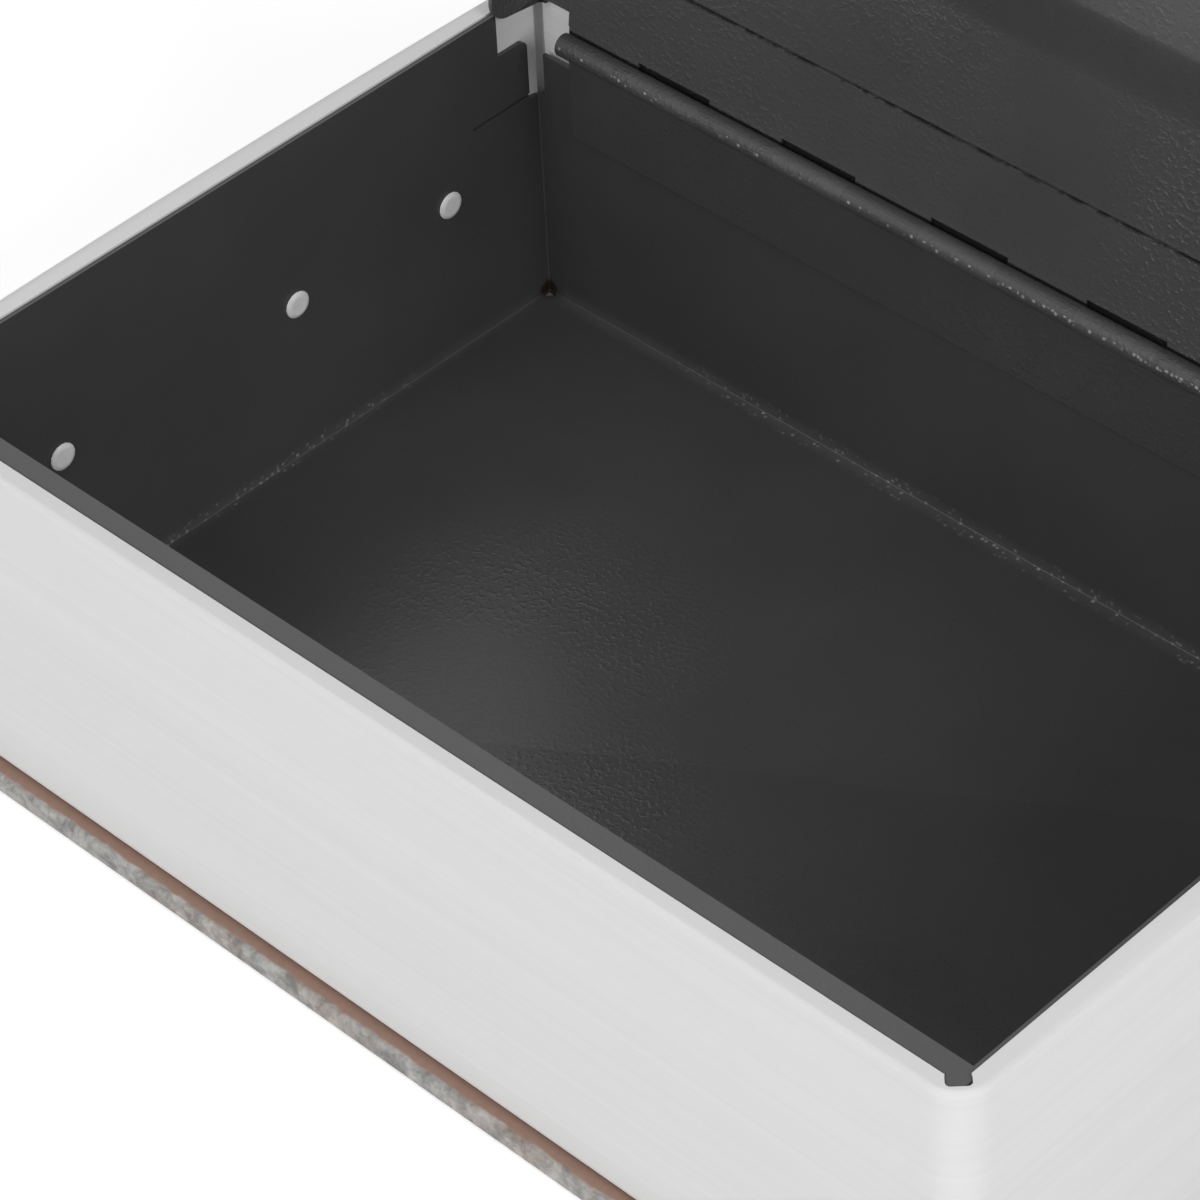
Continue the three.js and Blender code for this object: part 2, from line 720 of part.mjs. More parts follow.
function pressRing(inset, z) {
  const x = lidHalfLength - pressSideMargin - inset;
  const near = lidForeY + pressFrontMargin + inset;
  const far = hingeY - pressRearMargin - inset;
  const radius = pressCornerRadius - inset;
  const shape = roundedOutline([-x, x], [near, far], radius, radius);
  return shape.getPoints(roundSteps).slice(0, -1).map((p) => new THREE.Vector3(p.x, p.y, z));
}

function lidPanel() {
  let panel = lidShell(0, lidTopZ).subtract(lidShell(steelSheet, lidInnerZ));
  const wide = [-halfLength, halfLength];
  const long = [foreWallOuter, rearWallOuter];
  panel = panel.subtract(block(wide, long, [lidBottomZ - 2 * overrun, lidBottomZ]));
  const tall = [lidBottomZ - overrun, lidTopZ + overrun];
  panel = panel.subtract(block(wide, [lidFlangeHeelY, rearWallOuter], tall));
  const between = lidHalfLength - lidPlateCorner;
  panel = panel.subtract(block([-between, between], [lidHeelY, rearWallOuter], tall));
  panel = panel.subtract(edgeCutter('x', [lidFlangeHeelY, lidBottomZ], [-1, 1], lidFlangeRound, ...wide));
  const tongueY = [lidHeelY - steelSheet, hingeY - lidTongueHeel];
  panel = panel.add(block([hingeStartX, hingeEndX], tongueY, [lidInnerZ, lidTopZ]));
  panel = panel.add(lidPressing(lidInnerZ, steelSheet / 2)).subtract(lidPressing(lidTopZ, overrun));
  for (const side of [-1, 1]) {
    const edge = lidHalfLength - steelSheet;
    const slit = onSide(side, edge - lidCornerSlit, edge);
    const foreY = [lidForeY - overrun, lidForeY + steelSheet + lidCornerSlit];
    panel = panel.subtract(block(slit, foreY, [lidBottomZ - overrun, lidTopZ - 2 * bendRadius]));
  }
  return panel.subtract(lockBodyBar(lockHoleClearance, lidBottomZ, lidTopZ + overrun));
}

// Cam lock, drawn upright at its place in the closed lid

function lockBodyBar(clearance, low, high) {
  const radius = lockBodyRadius + clearance;
  const flat = lockBodyFlat + clearance;
  const bar = rod('z', radius, low, high, [0, lockY]);
  return bar.intersect(block([-flat, flat], [lockY - radius, lockY + radius], [low, high]));
}

const bezelLowZ = pressTopZ + glueLine;
const bezelTopZ = bezelLowZ + bezelHeight;
const bodyLowZ = camTopZ + glueLine + runningGap;
const plugHeadZ = bezelTopZ - plugHeadHeight;

function lockHousing() {
  const bezel = turned('z', [
    [0, bezelLowZ],
    [bezelRadius, bezelLowZ],
    [bezelRadius, bezelTopZ - bezelRound],
    [bezelRadius - bezelRound, bezelTopZ],
    [0, bezelTopZ],
  ], [0, lockY]);
  const bore = rod('z', plugRadius + runningGap, bodyLowZ - overrun, bezelTopZ, [0, lockY]);
  const seat = rod('z', plugHeadRadius + runningGap, plugHeadZ - runningGap, bezelTopZ + overrun, [0, lockY]);
  return bezel.add(lockBodyBar(0, bodyLowZ, bezelLowZ + bezelHeight / 4)).subtract(bore).subtract(seat);
}

function lockPlug() {
  const squareLow = camTopZ - camThickness;
  const body = turned('z', [
    [0, camTopZ + glueLine],
    [plugRadius, camTopZ + glueLine],
    [plugRadius, plugHeadZ],
    [plugHeadRadius, plugHeadZ],
    [plugHeadRadius, bezelTopZ],
    [0, bezelTopZ],
  ], [0, lockY]);
  const half = plugSquare / 2;
  const square = block([-half, half], [lockY - half, lockY + half], [squareLow, camTopZ + runningGap]);
  const keyhole = block([-keyholeWidth / 2, keyholeWidth / 2],
    [lockY - keyholeLength / 2, lockY + keyholeLength / 2], [bezelTopZ - keyholeDepth, bezelTopZ + overrun]);
  const screwHole = rod('z', camScrewRadius + runningGap / 2, squareLow - overrun,
    squareLow + camScrewLength, [0, lockY], circleSteps / 2);
  return body.add(square).subtract(keyhole).subtract(screwHole);
}

// The cam lies along +x while the lock is open, and turns to the fore edge to lock
function lockCam() {
  const shape = new THREE.Shape();
  const half = camArmWidth / 2;
  const spread = Math.asin(half / camHubRadius);
  shape.absarc(0, 0, camHubRadius, spread, 2 * Math.PI - spread);
  shape.absarc(camReach - camTipRound, -half + camTipRound, camTipRound, -Math.PI / 2, 0);
  shape.absarc(camReach - camTipRound, half - camTipRound, camTipRound, 0, Math.PI / 2);
  const plate = prism('z', shape, camTopZ - camThickness, camTopZ);
  const hole = plugSquare / 2 + runningGap / 2;
  const low = camTopZ - camThickness - overrun;
  const cam = plate.subtract(block([-hole, hole], [-hole, hole], [low, camTopZ + overrun]));
  return placed(cam, new THREE.Matrix4().makeTranslation(0, lockY, 0));
}

function lockNut() {
  const high = pressTopZ - steelSheet - lockWasherHeight - 2 * glueLine;
  const low = high - lockNutHeight;
  const across = lockNutFlats / 2 / Math.cos(Math.PI / 6);
  const hexagon = rod('z', across, low, high, [0, lockY], 6);
  return hexagon.subtract(rod('z', lockBodyRadius + runningGap, low - overrun, high + overrun, [0, lockY]));
}

function lockWasher() {
  const high = pressTopZ - steelSheet - glueLine;
  const low = high - lockWasherHeight;
  const disc = rod('z', lockWasherRadius, low, high, [0, lockY]);
  return disc.subtract(rod('z', lockBodyRadius + runningGap, low - overrun, high + overrun, [0, lockY]));
}

const camWasherTopZ = camTopZ - camThickness - glueLine;
const screwHeadTopZ = camWasherTopZ - camWasherHeight - glueLine;

function camWasher() {
  const low = camWasherTopZ - camWasherHeight;
  const disc = rod('z', camWasherRadius, low, camWasherTopZ, [0, lockY]);
  const hole = camScrewRadius + runningGap / 2;
  return disc.subtract(rod('z', hole, low - overrun, camWasherTopZ + overrun, [0, lockY], circleSteps / 2));
}

function camScrew() {
  const headLow = screwHeadTopZ - camScrewHeadHeight;
  const domeStart = headLow + camScrewHeadHeight / 2;
  const end = camTopZ - camThickness + camScrewLength - runningGap;
  const screw = turned('z', [
    [0, headLow],
    [camScrewHeadRadius * screwCrownShare, headLow],
    [camScrewHeadRadius, domeStart],
    [camScrewHeadRadius, screwHeadTopZ],
    [camScrewRadius, screwHeadTopZ],
    [camScrewRadius, end],
    [0, end],
  ], [0, lockY]);
  const half = camScrewRadius / 4;
  const reach = camScrewHeadRadius * screwCrossShare;
  const depth = headLow + camScrewHeadHeight / 2;
  const slotX = block([-reach, reach], [lockY - half, lockY + half], [headLow - overrun, depth]);
  const slotY = block([-half, half], [lockY - reach, lockY + reach], [headLow - overrun, depth]);
  return screw.subtract(slotX).subtract(slotY);
}

// Materials

function material(color, roughness, metalness) {
  return new THREE.MeshStandardMaterial({ color, roughness, metalness });
}

const finishes = {
  coatedSteel: () => material(0x3a3a3a, 0.55, 0.2),
  pagePlastic: () => material(0xdadad8, 0.5, 0),
  pinPlastic: () => material(0xc6c6c4, 0.45, 0),
  coverPrint: () => material(0xa8a6a2, 0.7, 0),
  board: () => material(0x8f8a80, 0.9, 0),
  endpaper: () => material(0xa0745f, 0.8, 0),
  zinc: () => material(0xb8b8b8, 0.3, 1),
  brass: () => material(0xb59a55, 0.35, 1),
  zincPlate: () => material(0xa9aaa6, 0.4, 1),
};

// Assembly

const bookSafe = new THREE.Group();

function add(group, name, finish, solid) {
  const mesh = new THREE.Mesh(geometryFrom(solid), finishes[finish]());
  mesh.name = name;
  group.add(mesh);
  return mesh;
}

// A group drawn closed that is turned open about a line along x through (y, z)
function turnedGroup(parent, y, z, angle) {
  const pivot = new THREE.Group();
  pivot.position.set(0, y, z);
  pivot.rotation.x = -angle;
  const closed = new THREE.Group();
  closed.position.set(0, -y, -z);
  pivot.add(closed);
  parent.add(pivot);
  return closed;
}

const endpaperX = pageHalfLength - endpaperMargin;
const backEndpaperX = [-endpaperX, endpaperX];
const coverEndpaperX = [-coverHalfLength + endpaperMargin, coverHalfLength - endpaperMargin];
add(bookSafe, 'back_board', 'board', coreBoard(coverHalfLength, coverCoreY));
add(bookSafe, 'back_cover_sheet', 'coverPrint', coverSheetBackAndSpine());
add(bookSafe, 'back_endpaper', 'endpaper',
  endpaper(backEndpaperX, [pageForeY + endpaperMargin, boardSpineEdgeY]));
add(bookSafe, 'spine_board', 'board', spineBoard());
add(bookSafe, 'front_joint', 'coverPrint', frontJoint());
add(bookSafe, 'page_block', 'pagePlastic', pageBlock());
add(bookSafe, 'tray', 'coatedSteel', trayBody());
add(bookSafe, 'tray_hinge_leaf', 'coatedSteel', trayLeaf());
add(bookSafe, 'hinge_pin', 'zincPlate', hingePin());
add(bookSafe, 'strike_bracket', 'coatedSteel', strikeBracket());
for (const pin of pinPlaces()) {
  add(bookSafe, pin.name, 'pinPlastic', pagePin(pin));
}

const lid = turnedGroup(bookSafe, hingeY, hingeZ, lidOpenAngle);
add(lid, 'lid', 'coatedSteel', lidPanel());
add(lid, 'lid_hinge_leaf', 'coatedSteel', lidLeaf());
add(lid, 'lock_housing', 'zinc', lockHousing());
add(lid, 'lock_washer', 'zincPlate', lockWasher());
add(lid, 'lock_nut', 'zincPlate', lockNut());
add(lid, 'lock_plug', 'brass', lockPlug());
add(lid, 'lock_cam', 'zincPlate', lockCam());
add(lid, 'cam_washer', 'zincPlate', camWasher());
add(lid, 'cam_screw', 'zincPlate', camScrew());

// The front cover is the back cover's twin: turned over about y, its outer face is on top
const frontCover = turnedGroup(bookSafe, coverHingeY, coverHingeZ, coverOpenAngle);
const turnedOver = new THREE.Group();
turnedOver.position.z = closedTopZ;
turnedOver.rotation.y = Math.PI;
frontCover.add(turnedOver);
add(turnedOver, 'front_board', 'board', coreBoard(coverHalfLength, coverCoreY));
add(turnedOver, 'front_cover_sheet', 'coverPrint', wrapSheet(coverHalfLength, coverY, true));
add(turnedOver, 'front_endpaper', 'endpaper',
  endpaper(coverEndpaperX, [coverForeY + endpaperMargin, boardSpineEdgeY]));

export default bookSafe;
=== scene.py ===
"""Dresses the book safe: a steel lock box in a hardback book, shown open on a pale floor."""

import json
import math

import bmesh
import bpy
from mathutils import Matrix, Vector


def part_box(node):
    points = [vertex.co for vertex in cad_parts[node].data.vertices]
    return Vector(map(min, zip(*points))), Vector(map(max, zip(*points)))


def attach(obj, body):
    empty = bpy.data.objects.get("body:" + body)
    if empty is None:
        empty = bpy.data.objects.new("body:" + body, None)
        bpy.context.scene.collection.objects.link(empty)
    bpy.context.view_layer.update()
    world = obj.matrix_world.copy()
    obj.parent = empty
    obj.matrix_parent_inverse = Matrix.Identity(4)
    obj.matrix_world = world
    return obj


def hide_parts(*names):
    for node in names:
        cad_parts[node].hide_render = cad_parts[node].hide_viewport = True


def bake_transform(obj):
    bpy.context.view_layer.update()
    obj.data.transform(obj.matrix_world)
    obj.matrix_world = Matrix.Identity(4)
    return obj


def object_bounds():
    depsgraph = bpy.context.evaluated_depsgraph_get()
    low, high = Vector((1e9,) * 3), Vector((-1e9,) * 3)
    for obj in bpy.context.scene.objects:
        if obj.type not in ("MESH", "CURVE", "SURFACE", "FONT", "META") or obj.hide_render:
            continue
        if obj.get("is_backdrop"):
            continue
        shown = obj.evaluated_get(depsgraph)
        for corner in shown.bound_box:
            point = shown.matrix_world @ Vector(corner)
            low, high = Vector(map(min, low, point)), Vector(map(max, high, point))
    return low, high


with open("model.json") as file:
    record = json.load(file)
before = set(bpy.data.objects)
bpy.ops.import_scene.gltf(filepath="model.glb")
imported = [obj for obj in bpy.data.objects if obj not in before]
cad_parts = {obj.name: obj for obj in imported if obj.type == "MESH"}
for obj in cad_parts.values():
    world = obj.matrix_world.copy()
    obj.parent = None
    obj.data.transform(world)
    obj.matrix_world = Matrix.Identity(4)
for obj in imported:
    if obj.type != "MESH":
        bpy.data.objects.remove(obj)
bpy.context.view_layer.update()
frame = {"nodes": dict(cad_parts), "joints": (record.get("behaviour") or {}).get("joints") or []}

bl_info = {
    "name": "Book safe",
    "version": (1, 0, 0),
    "blender": (4, 5, 0),
    "location": "3D Viewport > Sidebar > Book safe",
    "description": "Models and finishes a steel lock box hidden in a hardback book",
    "category": "Object",
}


# Fixed values. Lengths are in metres.
# A pattern is a noise: its waves in a metre, its detail and its roughness.
# A relief is a bump: its height and its strength.
# Spans are the two ends between which something comes in or fades out.
# Shades are the darkest and the palest share of a colour.

MIDDLE_SPAN = (0.3, 0.7)
LINE_BLUR = 0.0001

# Powder coat. The peel's patterns count waves between two bumps of the coat.
COAT_CLOUD = (45.0, 4.0, 0.55)
COAT_SHADES = (0.92, 1.08)
COAT_ROUGHER = 0.06
COAT_SMOOTHER = 0.05
PEEL = (1.0, 2.0, 0.5)
FINE_PEEL = (2.5, 2.0, 0.55)
DENT_SPAN = (0.5, 0.68)
DENT_RELIEF = (0.00006, 1.0)
FINE_RELIEF = (0.00001, 0.9)
PATCHES = (22.0, 1.0, 0.55)
PATCH_SPAN = (0.4, 0.65)
BETWEEN_PATCHES_SHARE = 0.05
WRINKLE_CORE_SHARE = 0.5
PAST_WRINKLES_SHARE = 0.1

# Tray: the painted shadow line at its rim, the painted shade in the relief holes at its corners, and the
# painted highlight and glints on its bends
STEEL_SHEET = 0.0006
SIDE_LINE = 0.0004
FRONT_LINE = 0.0002
LINE_DEPTH = 0.0007
LINE_SHADE_SHARE = 0.12
LINE_ROUGHER = 0.6
# The relief holes: the brown endpaper in deep shade under them is painted as a dark spot on the coat, which
# is painted shade.
HOLE_INSET_X = 0.0016
HOLE_INSET_Y = 0.0009
HOLE_HEIGHT = 0.0010
HOLE_SPAN = (0.0011, 0.0018)
HOLE_SHADE_SHARE = 0.9
HOLE_SHADE_COLOUR = (0.018, 0.007, 0.004)
ROUND_HOLE_SPAN = (0.0020, 0.0035)
BEND_SPAN = (0.0006, 0.0022)
BEND_HIGHLIGHT_SHARE = 1.4
GLINT_SPAN = (0.018, 0.045)
GLINT_SHARE = 0.8
BEND_GLINT_SHARE = 0.3

# Specks: painted glints
SPECK_SCALE = 1500.0
SPECK_SPAN = (0.2, 0.5)
LEAST_SPECK_SHARE = 0.15
SPECK_COLOUR = (0.42, 0.42, 0.42)

# Lid: painted light on the whole lid and on its pressed field, and painted shade in the recess behind the
# knuckles
LID_LIGHT_SHARE = 1.12
RECESS_SPAN = (0.0040, 0.0043)
RECESS_SHADE_SHARE = 0.2
FIELD_START_SHARES = (0.5, 1.2)
FIELD_DEPTH_SPAN = (0.049, 0.052)
FIELD_SIDE_SPAN = (0.050, 0.053)
FIELD_LIGHT_SHARE = 1.4

# Hinge: painted light on the lid's leaf, painted shade in the crevice and along the leaf's edge, and painted
# glints as specks on the barrel
LEAF_LIGHT_SHARE = 0.15
BARREL_ROUGHNESS = 0.5
CREVICE_BLUR = 0.00003
CREVICE_SPAN = (0.0003, 0.0005)
CREVICE_SHADE_SHARE = 0.15
LEAF_WANDER = (350.0, 4.0, 0.7)
LEAF_LINE_START = 0.0003
LEAF_LINE_END = 0.0001
LEAF_BREAK_SPAN = (0.42, 0.5)
LEAF_LINE_SHADE_SHARE = 0.1
BARREL_SPECK_SPAN = (-0.075, 0.05)
BARREL_SPECK_SHARES = (0.3, 1.0)
GLINT_FOOT_SHARES = (0.05, 0.1)
GLINT_TOP_SHARES = (0.4, 0.45)
GLINT_FRONT_SHARES = (0.6, 0.5)
LID_LEAF_BREAK_SHARE = 0.25
KNUCKLE_SIDE_SHARE = 0.99
OFF_BARREL_SHARE = 2.0

# Page plastic, with painted shade on its rounded top edge, and pins
PAGE_ROUGHNESS = 0.62
PAGE_SPECULAR = 0.35
PAGE_SCATTER_SHARE = 0.08
PAGE_SCATTER = 0.002
PAGE_LINES = (1.0, 3.0, 0.6)
PAGE_LINES_STRETCH = (14.0, 14.0, 1500.0)
PAGE_LINES_RELIEF = (0.00006, 0.2)
PAGE_WAVES = (1.0, 2.0, 0.55)
PAGE_WAVES_STRETCH = (9.0, 9.0, 420.0)
PAGE_WAVES_RELIEF = (0.00012, 0.22)
PAGE_SPAN = (0.7, 1.3)
PAGE_SHADES = (0.97, 1.025)
TOP_START_SHARE = 0.5
TOP_END_SHARE = 0.2
TOP_SHADE_SHARE = 0.95
PIN_ROUGHNESS = 0.35
PIN_CLOUD = (420.0, 2.0, 0.55)
PIN_SPAN = (0.35, 0.65)
PIN_SHADES = (0.93, 1.03)
PIN_RELIEF = (0.00005, 0.3)

# Cover print, papers and board
DRIFT = (160.0, 3.0, 0.5)
DRIFT_REACH = 0.006
VEINS = (420.0, 5.0, 0.65)
VEIN_SPAN = (0.35, 0.65)
VEIN_SHADES = (0.55, 1.45)
WARM_CLOUDS = (90.0, 3.0, 0.55)
WARM_SPAN = (0.45, 0.7)
WARM_SHARES = (1.02, 0.88, 0.82)
EDGE_WANDER = (330.0, 3.0, 0.5)
EDGE_WANDER_REACH = 0.00025
EDGE_BLUR = 0.0002
LEVEL_BEFORE = 0.00025
LEVEL_PAST = 0.00015
PRINT_ROUGHNESS = 0.6
PRINT_FIBRES = (900.0, 4.0, 0.6)
TURN_IN_SHADES = (0.93, 1.06)
PAPER_RELIEF = (0.00004, 0.4)
ENDPAPER_ROUGHNESS = 0.75
ENDPAPER_FIBRES = (700.0, 5.0, 0.6)
ENDPAPER_STRETCH = (1.0, 2.5, 1.0)
ENDPAPER_SHADES = (0.9, 1.08)
BOARD_ROUGHNESS = 0.9
BOARD_FLECKS = (1500.0, 4.0, 0.7)
BOARD_SPAN = (0.35, 0.6)
BOARD_SHADES = (0.75, 1.1)
BOARD_RELIEF = (0.00006, 0.5)

# Bare metals
METAL_MARKS = (1.0, 3.0, 0.6)
METAL_SHADES = (0.88, 1.05)
METAL_ROUGHNESS_SHARES = (0.8, 1.3)
METAL_RELIEF = (0.00002, 0.3)
ZINC_ROUGHNESS = 0.3
ZINC_STRETCH = (900.0, 900.0, 2600.0)
BRASS_ROUGHNESS = 0.28
BRASS_STRETCH = (2200.0, 2200.0, 600.0)

# Shapes
WELD = 0.000002
FLAT_ANGLE = math.radians(0.5)
HOLLOW_ANGLE = math.radians(-60.0)
SHARP_ANGLE = math.radians(35.0)
FOLDED_SHARP_ANGLE = math.radians(50.0)
PIN_SHARP_ANGLE = math.radians(20.0)
SMOOTH_ANGLE = math.radians(40.0)
LEAST_BEND = 0.01
SHEET_WAYS = ((1.0, 0.0, 0.0), (-1.0, 0.0, 0.0), (0.0, -1.0, 0.0))
BEND_STEPS = 4
EDGE_STEPS = 2
LEAF_STEPS = 3
PIN_STEPS = 3
WALL_SLICES = 12
JUST_PAST_SHARE = 1.001
WALL_FACE_EDGES = 2.0

# Stage
FLOOR_HALF_SIZE = 3.0
FLOOR_COLOUR = (0.75, 0.75, 0.75)
FLOOR_ROUGHNESS = 0.9
FLOOR_SEEN_STRENGTH = 0.5
LAMP_PLACES = {"right": (0.0, 32.0), "front": (270.0, 38.0), "low": (270.0, 14.0), "rear": (150.0, 55.0)}
SENSOR_WIDTH = 36.0
NEAREST_SEEN = 0.01
FARTHEST_SEEN = 20.0


# Settings

def a_length(name, description, default, least=0.0):
    return bpy.props.FloatProperty(
        name=name, description=description, default=default, min=least, unit="LENGTH")


def a_power(name, description, default):
    return bpy.props.FloatProperty(
        name=name, description=description, default=default, min=0.0, unit="POWER")


def an_angle(name, description, degrees):
    return bpy.props.FloatProperty(
        name=name, description=description, default=math.radians(degrees), subtype="ANGLE")


def a_colour(name, description, default):
    return bpy.props.FloatVectorProperty(
        name=name, description=description, default=default, size=3, subtype="COLOR", min=0.0, max=1.0)


class BOOKSAFE_PG_sizes(bpy.types.PropertyGroup):
    """Sizes of the finished edges and of the texture of the coat."""

    inside_bend: a_length(
        "Inside bend", "Radius inside the folds of sheet steel", 0.0005)
    steel_edge: a_length(
        "Steel edge", "Rounding of the cut edges of coated sheet steel", 0.00022)
    turn_in_inset: a_length(
        "Turn-in inset", "How far inside the cover's edges the outer print ends where it turns in", 0.0008)
    leaf_edge: a_length(
        "Leaf edge", "Rounding of the tray's hinge leaf at its outer edges under the coat", 0.00028)
    knuckle_edge: a_length(
        "Knuckle edge", "Rounding of the knuckles' cut edges and of the lid's leaf", 0.00005)
    knuckle_seam: a_length(
        "Knuckle seam", "How much of the gap between two knuckles the coat fills on each side", 0.000147)
    ramp_start: a_length(
        "Ramp start", "Distance from the hinge line to the start of the pressed ramp in the lid", 0.033)
    ramp_end: a_length(
        "Ramp end", "Distance from the hinge line to the foot of the pressed ramp", 0.041)
    ramp_fade: a_length(
        "Ramp fade", "Distance from the hinge line at which the ramp's growth has faded out", 0.060)
    ramp_growth: a_length(
        "Ramp growth", "How much the ramp is drawn out at each of its edges", 0.0015)
    plastic_edge: a_length(
        "Plastic edge", "Rounding of the moulded plastic edges", 0.0003)
    opening_edge: a_length(
        "Opening edge", "Rounding of the page block's edge round the tray", 0.0006)
    # The page block's rounded top edge is painted darker within this height, which is painted shade.
    top_round: a_length(
        "Top round", "Height of the page block's rounded top edge, where the plastic is duller", 0.0008)
    wall_bow: a_length(
        "Wall bow", "How far the short walls of the page block bow out in their middle", 0.0009)
    pin_edge: a_length(
        "Pin edge", "Rounding of the pins' heads", 0.0003)
    lock_edge: a_length(
        "Lock edge", "Rounding of the edges of the lock's parts", 0.0002)
    peel_size: a_length(
        "Orange peel", "Distance between the bumps of the powder coat", 0.0007, 0.0001)
    wrinkle_place: bpy.props.FloatVectorProperty(
        name="Wrinkle place",
        description="Middle of the place on the tray's floor where the coat is most wrinkled",
        size=2,
        default=(-0.032, -0.010),
    )
    wrinkle_reach: a_length(
        "Wrinkle reach", "Radius of the place on the tray's floor where the coat is most wrinkled", 0.038)
    joint_steps: bpy.props.IntProperty(
        name="Joint steps",
        description="Slices of the bending strip between the spine and the front cover",
        default=14,
        min=2,
    )


class BOOKSAFE_PG_finish(bpy.types.PropertyGroup):
    """Colours of the finishes."""

    coat_colour: a_colour("Powder coat", "Colour of the coat on all sheet steel", (0.054, 0.054, 0.0545))
    coat_roughness: bpy.props.FloatProperty(
        name="Coat roughness",
        description="Roughness of the powder coat",
        subtype="FACTOR",
        default=0.32,
        min=0.0,
        max=1.0,
    )
    plastic_colour: a_colour("Page plastic", "Colour of the moulded page block", (0.69, 0.69, 0.69))
    pin_colour: a_colour("Pins", "Colour of the plastic pins", (0.74, 0.74, 0.74))
    print_colour: a_colour("Cover print", "Colour of the outside of the cover", (0.31, 0.305, 0.295))
    turn_in_colour: a_colour("Turn-in", "Colour of the inside of the cover", (0.30, 0.185, 0.14))
    board_colour: a_colour("Board", "Colour of the greyboard in the cover", (0.28, 0.26, 0.22))
    zinc_colour: a_colour("Plated metal", "Colour of the plated lock parts", (0.60, 0.60, 0.59))
    brass_colour: a_colour("Brass", "Colour of the lock's plug", (0.58, 0.43, 0.19))


class BOOKSAFE_PG_studio(bpy.types.PropertyGroup):
    """The camera and the light."""

    camera_place: bpy.props.FloatVectorProperty(
        name="Camera place",
        description="Where the camera stands",
        subtype="TRANSLATION",
        size=3,
        default=(0.307595, -0.318784, 0.428865),
    )
    camera_turn: an_angle("Camera turn", "Turn of the camera about the vertical", 45.8762)
    camera_tilt: an_angle("Camera tilt", "How far the camera looks down", 41.7276)
    camera_roll: an_angle("Camera roll", "Turn of the camera about its own line of sight", -3.005)
    focal_length: bpy.props.FloatProperty(
        name="Focal length",
        description="Focal length in millimetres for the camera's sensor",
        default=148.307,
        min=1.0,
    )
    lamp_distance: a_length(
        "Lamp distance", "Distance of the soft lamps from the middle of the book", 1.2, 0.5)
    lamp_size: a_length("Lamp size", "Width and height of each soft lamp", 0.5, 0.01)
    right_power: a_power("Right lamp", "Power of the lamp on the right of the book", 6.6)
    front_power: a_power("Front lamp", "Power of the high lamp in front of the book", 4.4)
    low_power: a_power("Low lamp", "Power of the low lamp in front of the book", 2.5)
    rear_power: a_power(
        "Rear lamp", "Power of the lamp behind the book, which shines on the tray's floor", 0.7)
    surround: bpy.props.FloatProperty(
        name="Surround",
        description="Strength of the even light from all round",
        default=0.40,
        min=0.0,
    )


def sizes():
    return bpy.context.scene.booksafe_sizes


def finish():
    return bpy.context.scene.booksafe_finish


def studio():
    return bpy.context.scene.booksafe_studio


# Nodes that the materials are made of

def new_material(name, colour, roughness, metallic=0.0):
    """A material with plain values on its shader's own sockets, with its node tree and the shader."""
    material = bpy.data.materials.new(name)
    material.use_nodes = True
    tree = material.node_tree
    shader = tree.nodes["Principled BSDF"]
    shader.inputs["Base Color"].default_value = (*colour, 1.0)
    shader.inputs["Roughness"].default_value = roughness
    shader.inputs["Metallic"].default_value = metallic
    return material, tree, shader


def object_point(tree, stretch=(1.0, 1.0, 1.0)):
    """The piece's own coordinates in metres, stretched by a Mapping node."""
    place = tree.nodes.new("ShaderNodeTexCoord")
    mapping = tree.nodes.new("ShaderNodeMapping")
    mapping.inputs["Scale"].default_value = stretch
    tree.links.new(place.outputs["Object"], mapping.inputs["Vector"])
    return mapping.outputs["Vector"]


def axes_of(tree, point):
    """The three coordinates of a point."""
    node = tree.nodes.new("ShaderNodeSeparateXYZ")
    tree.links.new(point, node.inputs["Vector"])
    return node.outputs["X"], node.outputs["Y"], node.outputs["Z"]


def noise(tree, point, pattern, unit=1.0):
    """A noise pattern, whose waves are counted in the given length."""
    waves, detail, roughness = pattern
    texture = tree.nodes.new("ShaderNodeTexNoise")
    texture.inputs["Scale"].default_value = waves / unit
    texture.inputs["Detail"].default_value = detail
    texture.inputs["Roughness"].default_value = roughness
    tree.links.new(point, texture.inputs["Vector"])
    return texture.outputs["Fac"]


def ranged(tree, value, low, high, to_low, to_high):
    """A value mapped from one range to another, held at the ends."""
    node = tree.nodes.new("ShaderNodeMapRange")
    node.inputs["From Min"].default_value = low
    node.inputs["From Max"].default_value = high
    node.inputs["To Min"].default_value = to_low
    node.inputs["To Max"].default_value = to_high
    tree.links.new(value, node.inputs["Value"])
    return node.outputs["Result"]


def rising(tree, value, start, end):
    """Zero up to the start, and one from the end on."""
    return ranged(tree, value, start, end, 0.0, 1.0)


def falling(tree, value, start, end):
    """One up to the start, and zero from the end on."""
    return ranged(tree, value, start, end, 1.0, 0.0)


def vector_of(tree, operation, first, second):
    """A vector operation between outputs or fixed vectors."""
    node = tree.nodes.new("ShaderNodeVectorMath")
    node.operation = operation
    for socket, value in zip(node.inputs, (first, second)):
        if isinstance(value, (tuple, Vector)):
            socket.default_value = value
        else:
            tree.links.new(value, socket)
    return node.outputs["Value"] if operation in {"DOT_PRODUCT", "DISTANCE"} else node.outputs["Vector"]


def number_of(tree, operation, first, second):
    """A sum, product or other operation between outputs or numbers."""
    node = tree.nodes.new("ShaderNodeMath")
    node.operation = operation
    for socket, value in zip(node.inputs, (first, second)):
        if isinstance(value, (int, float)):
            socket.default_value = value
        else:
            tree.links.new(value, socket)
    return node.outputs["Value"]


def product(tree, first, *others):
    """All the values multiplied together."""
    for other in others:
        first = number_of(tree, "MULTIPLY", first, other)
    return first


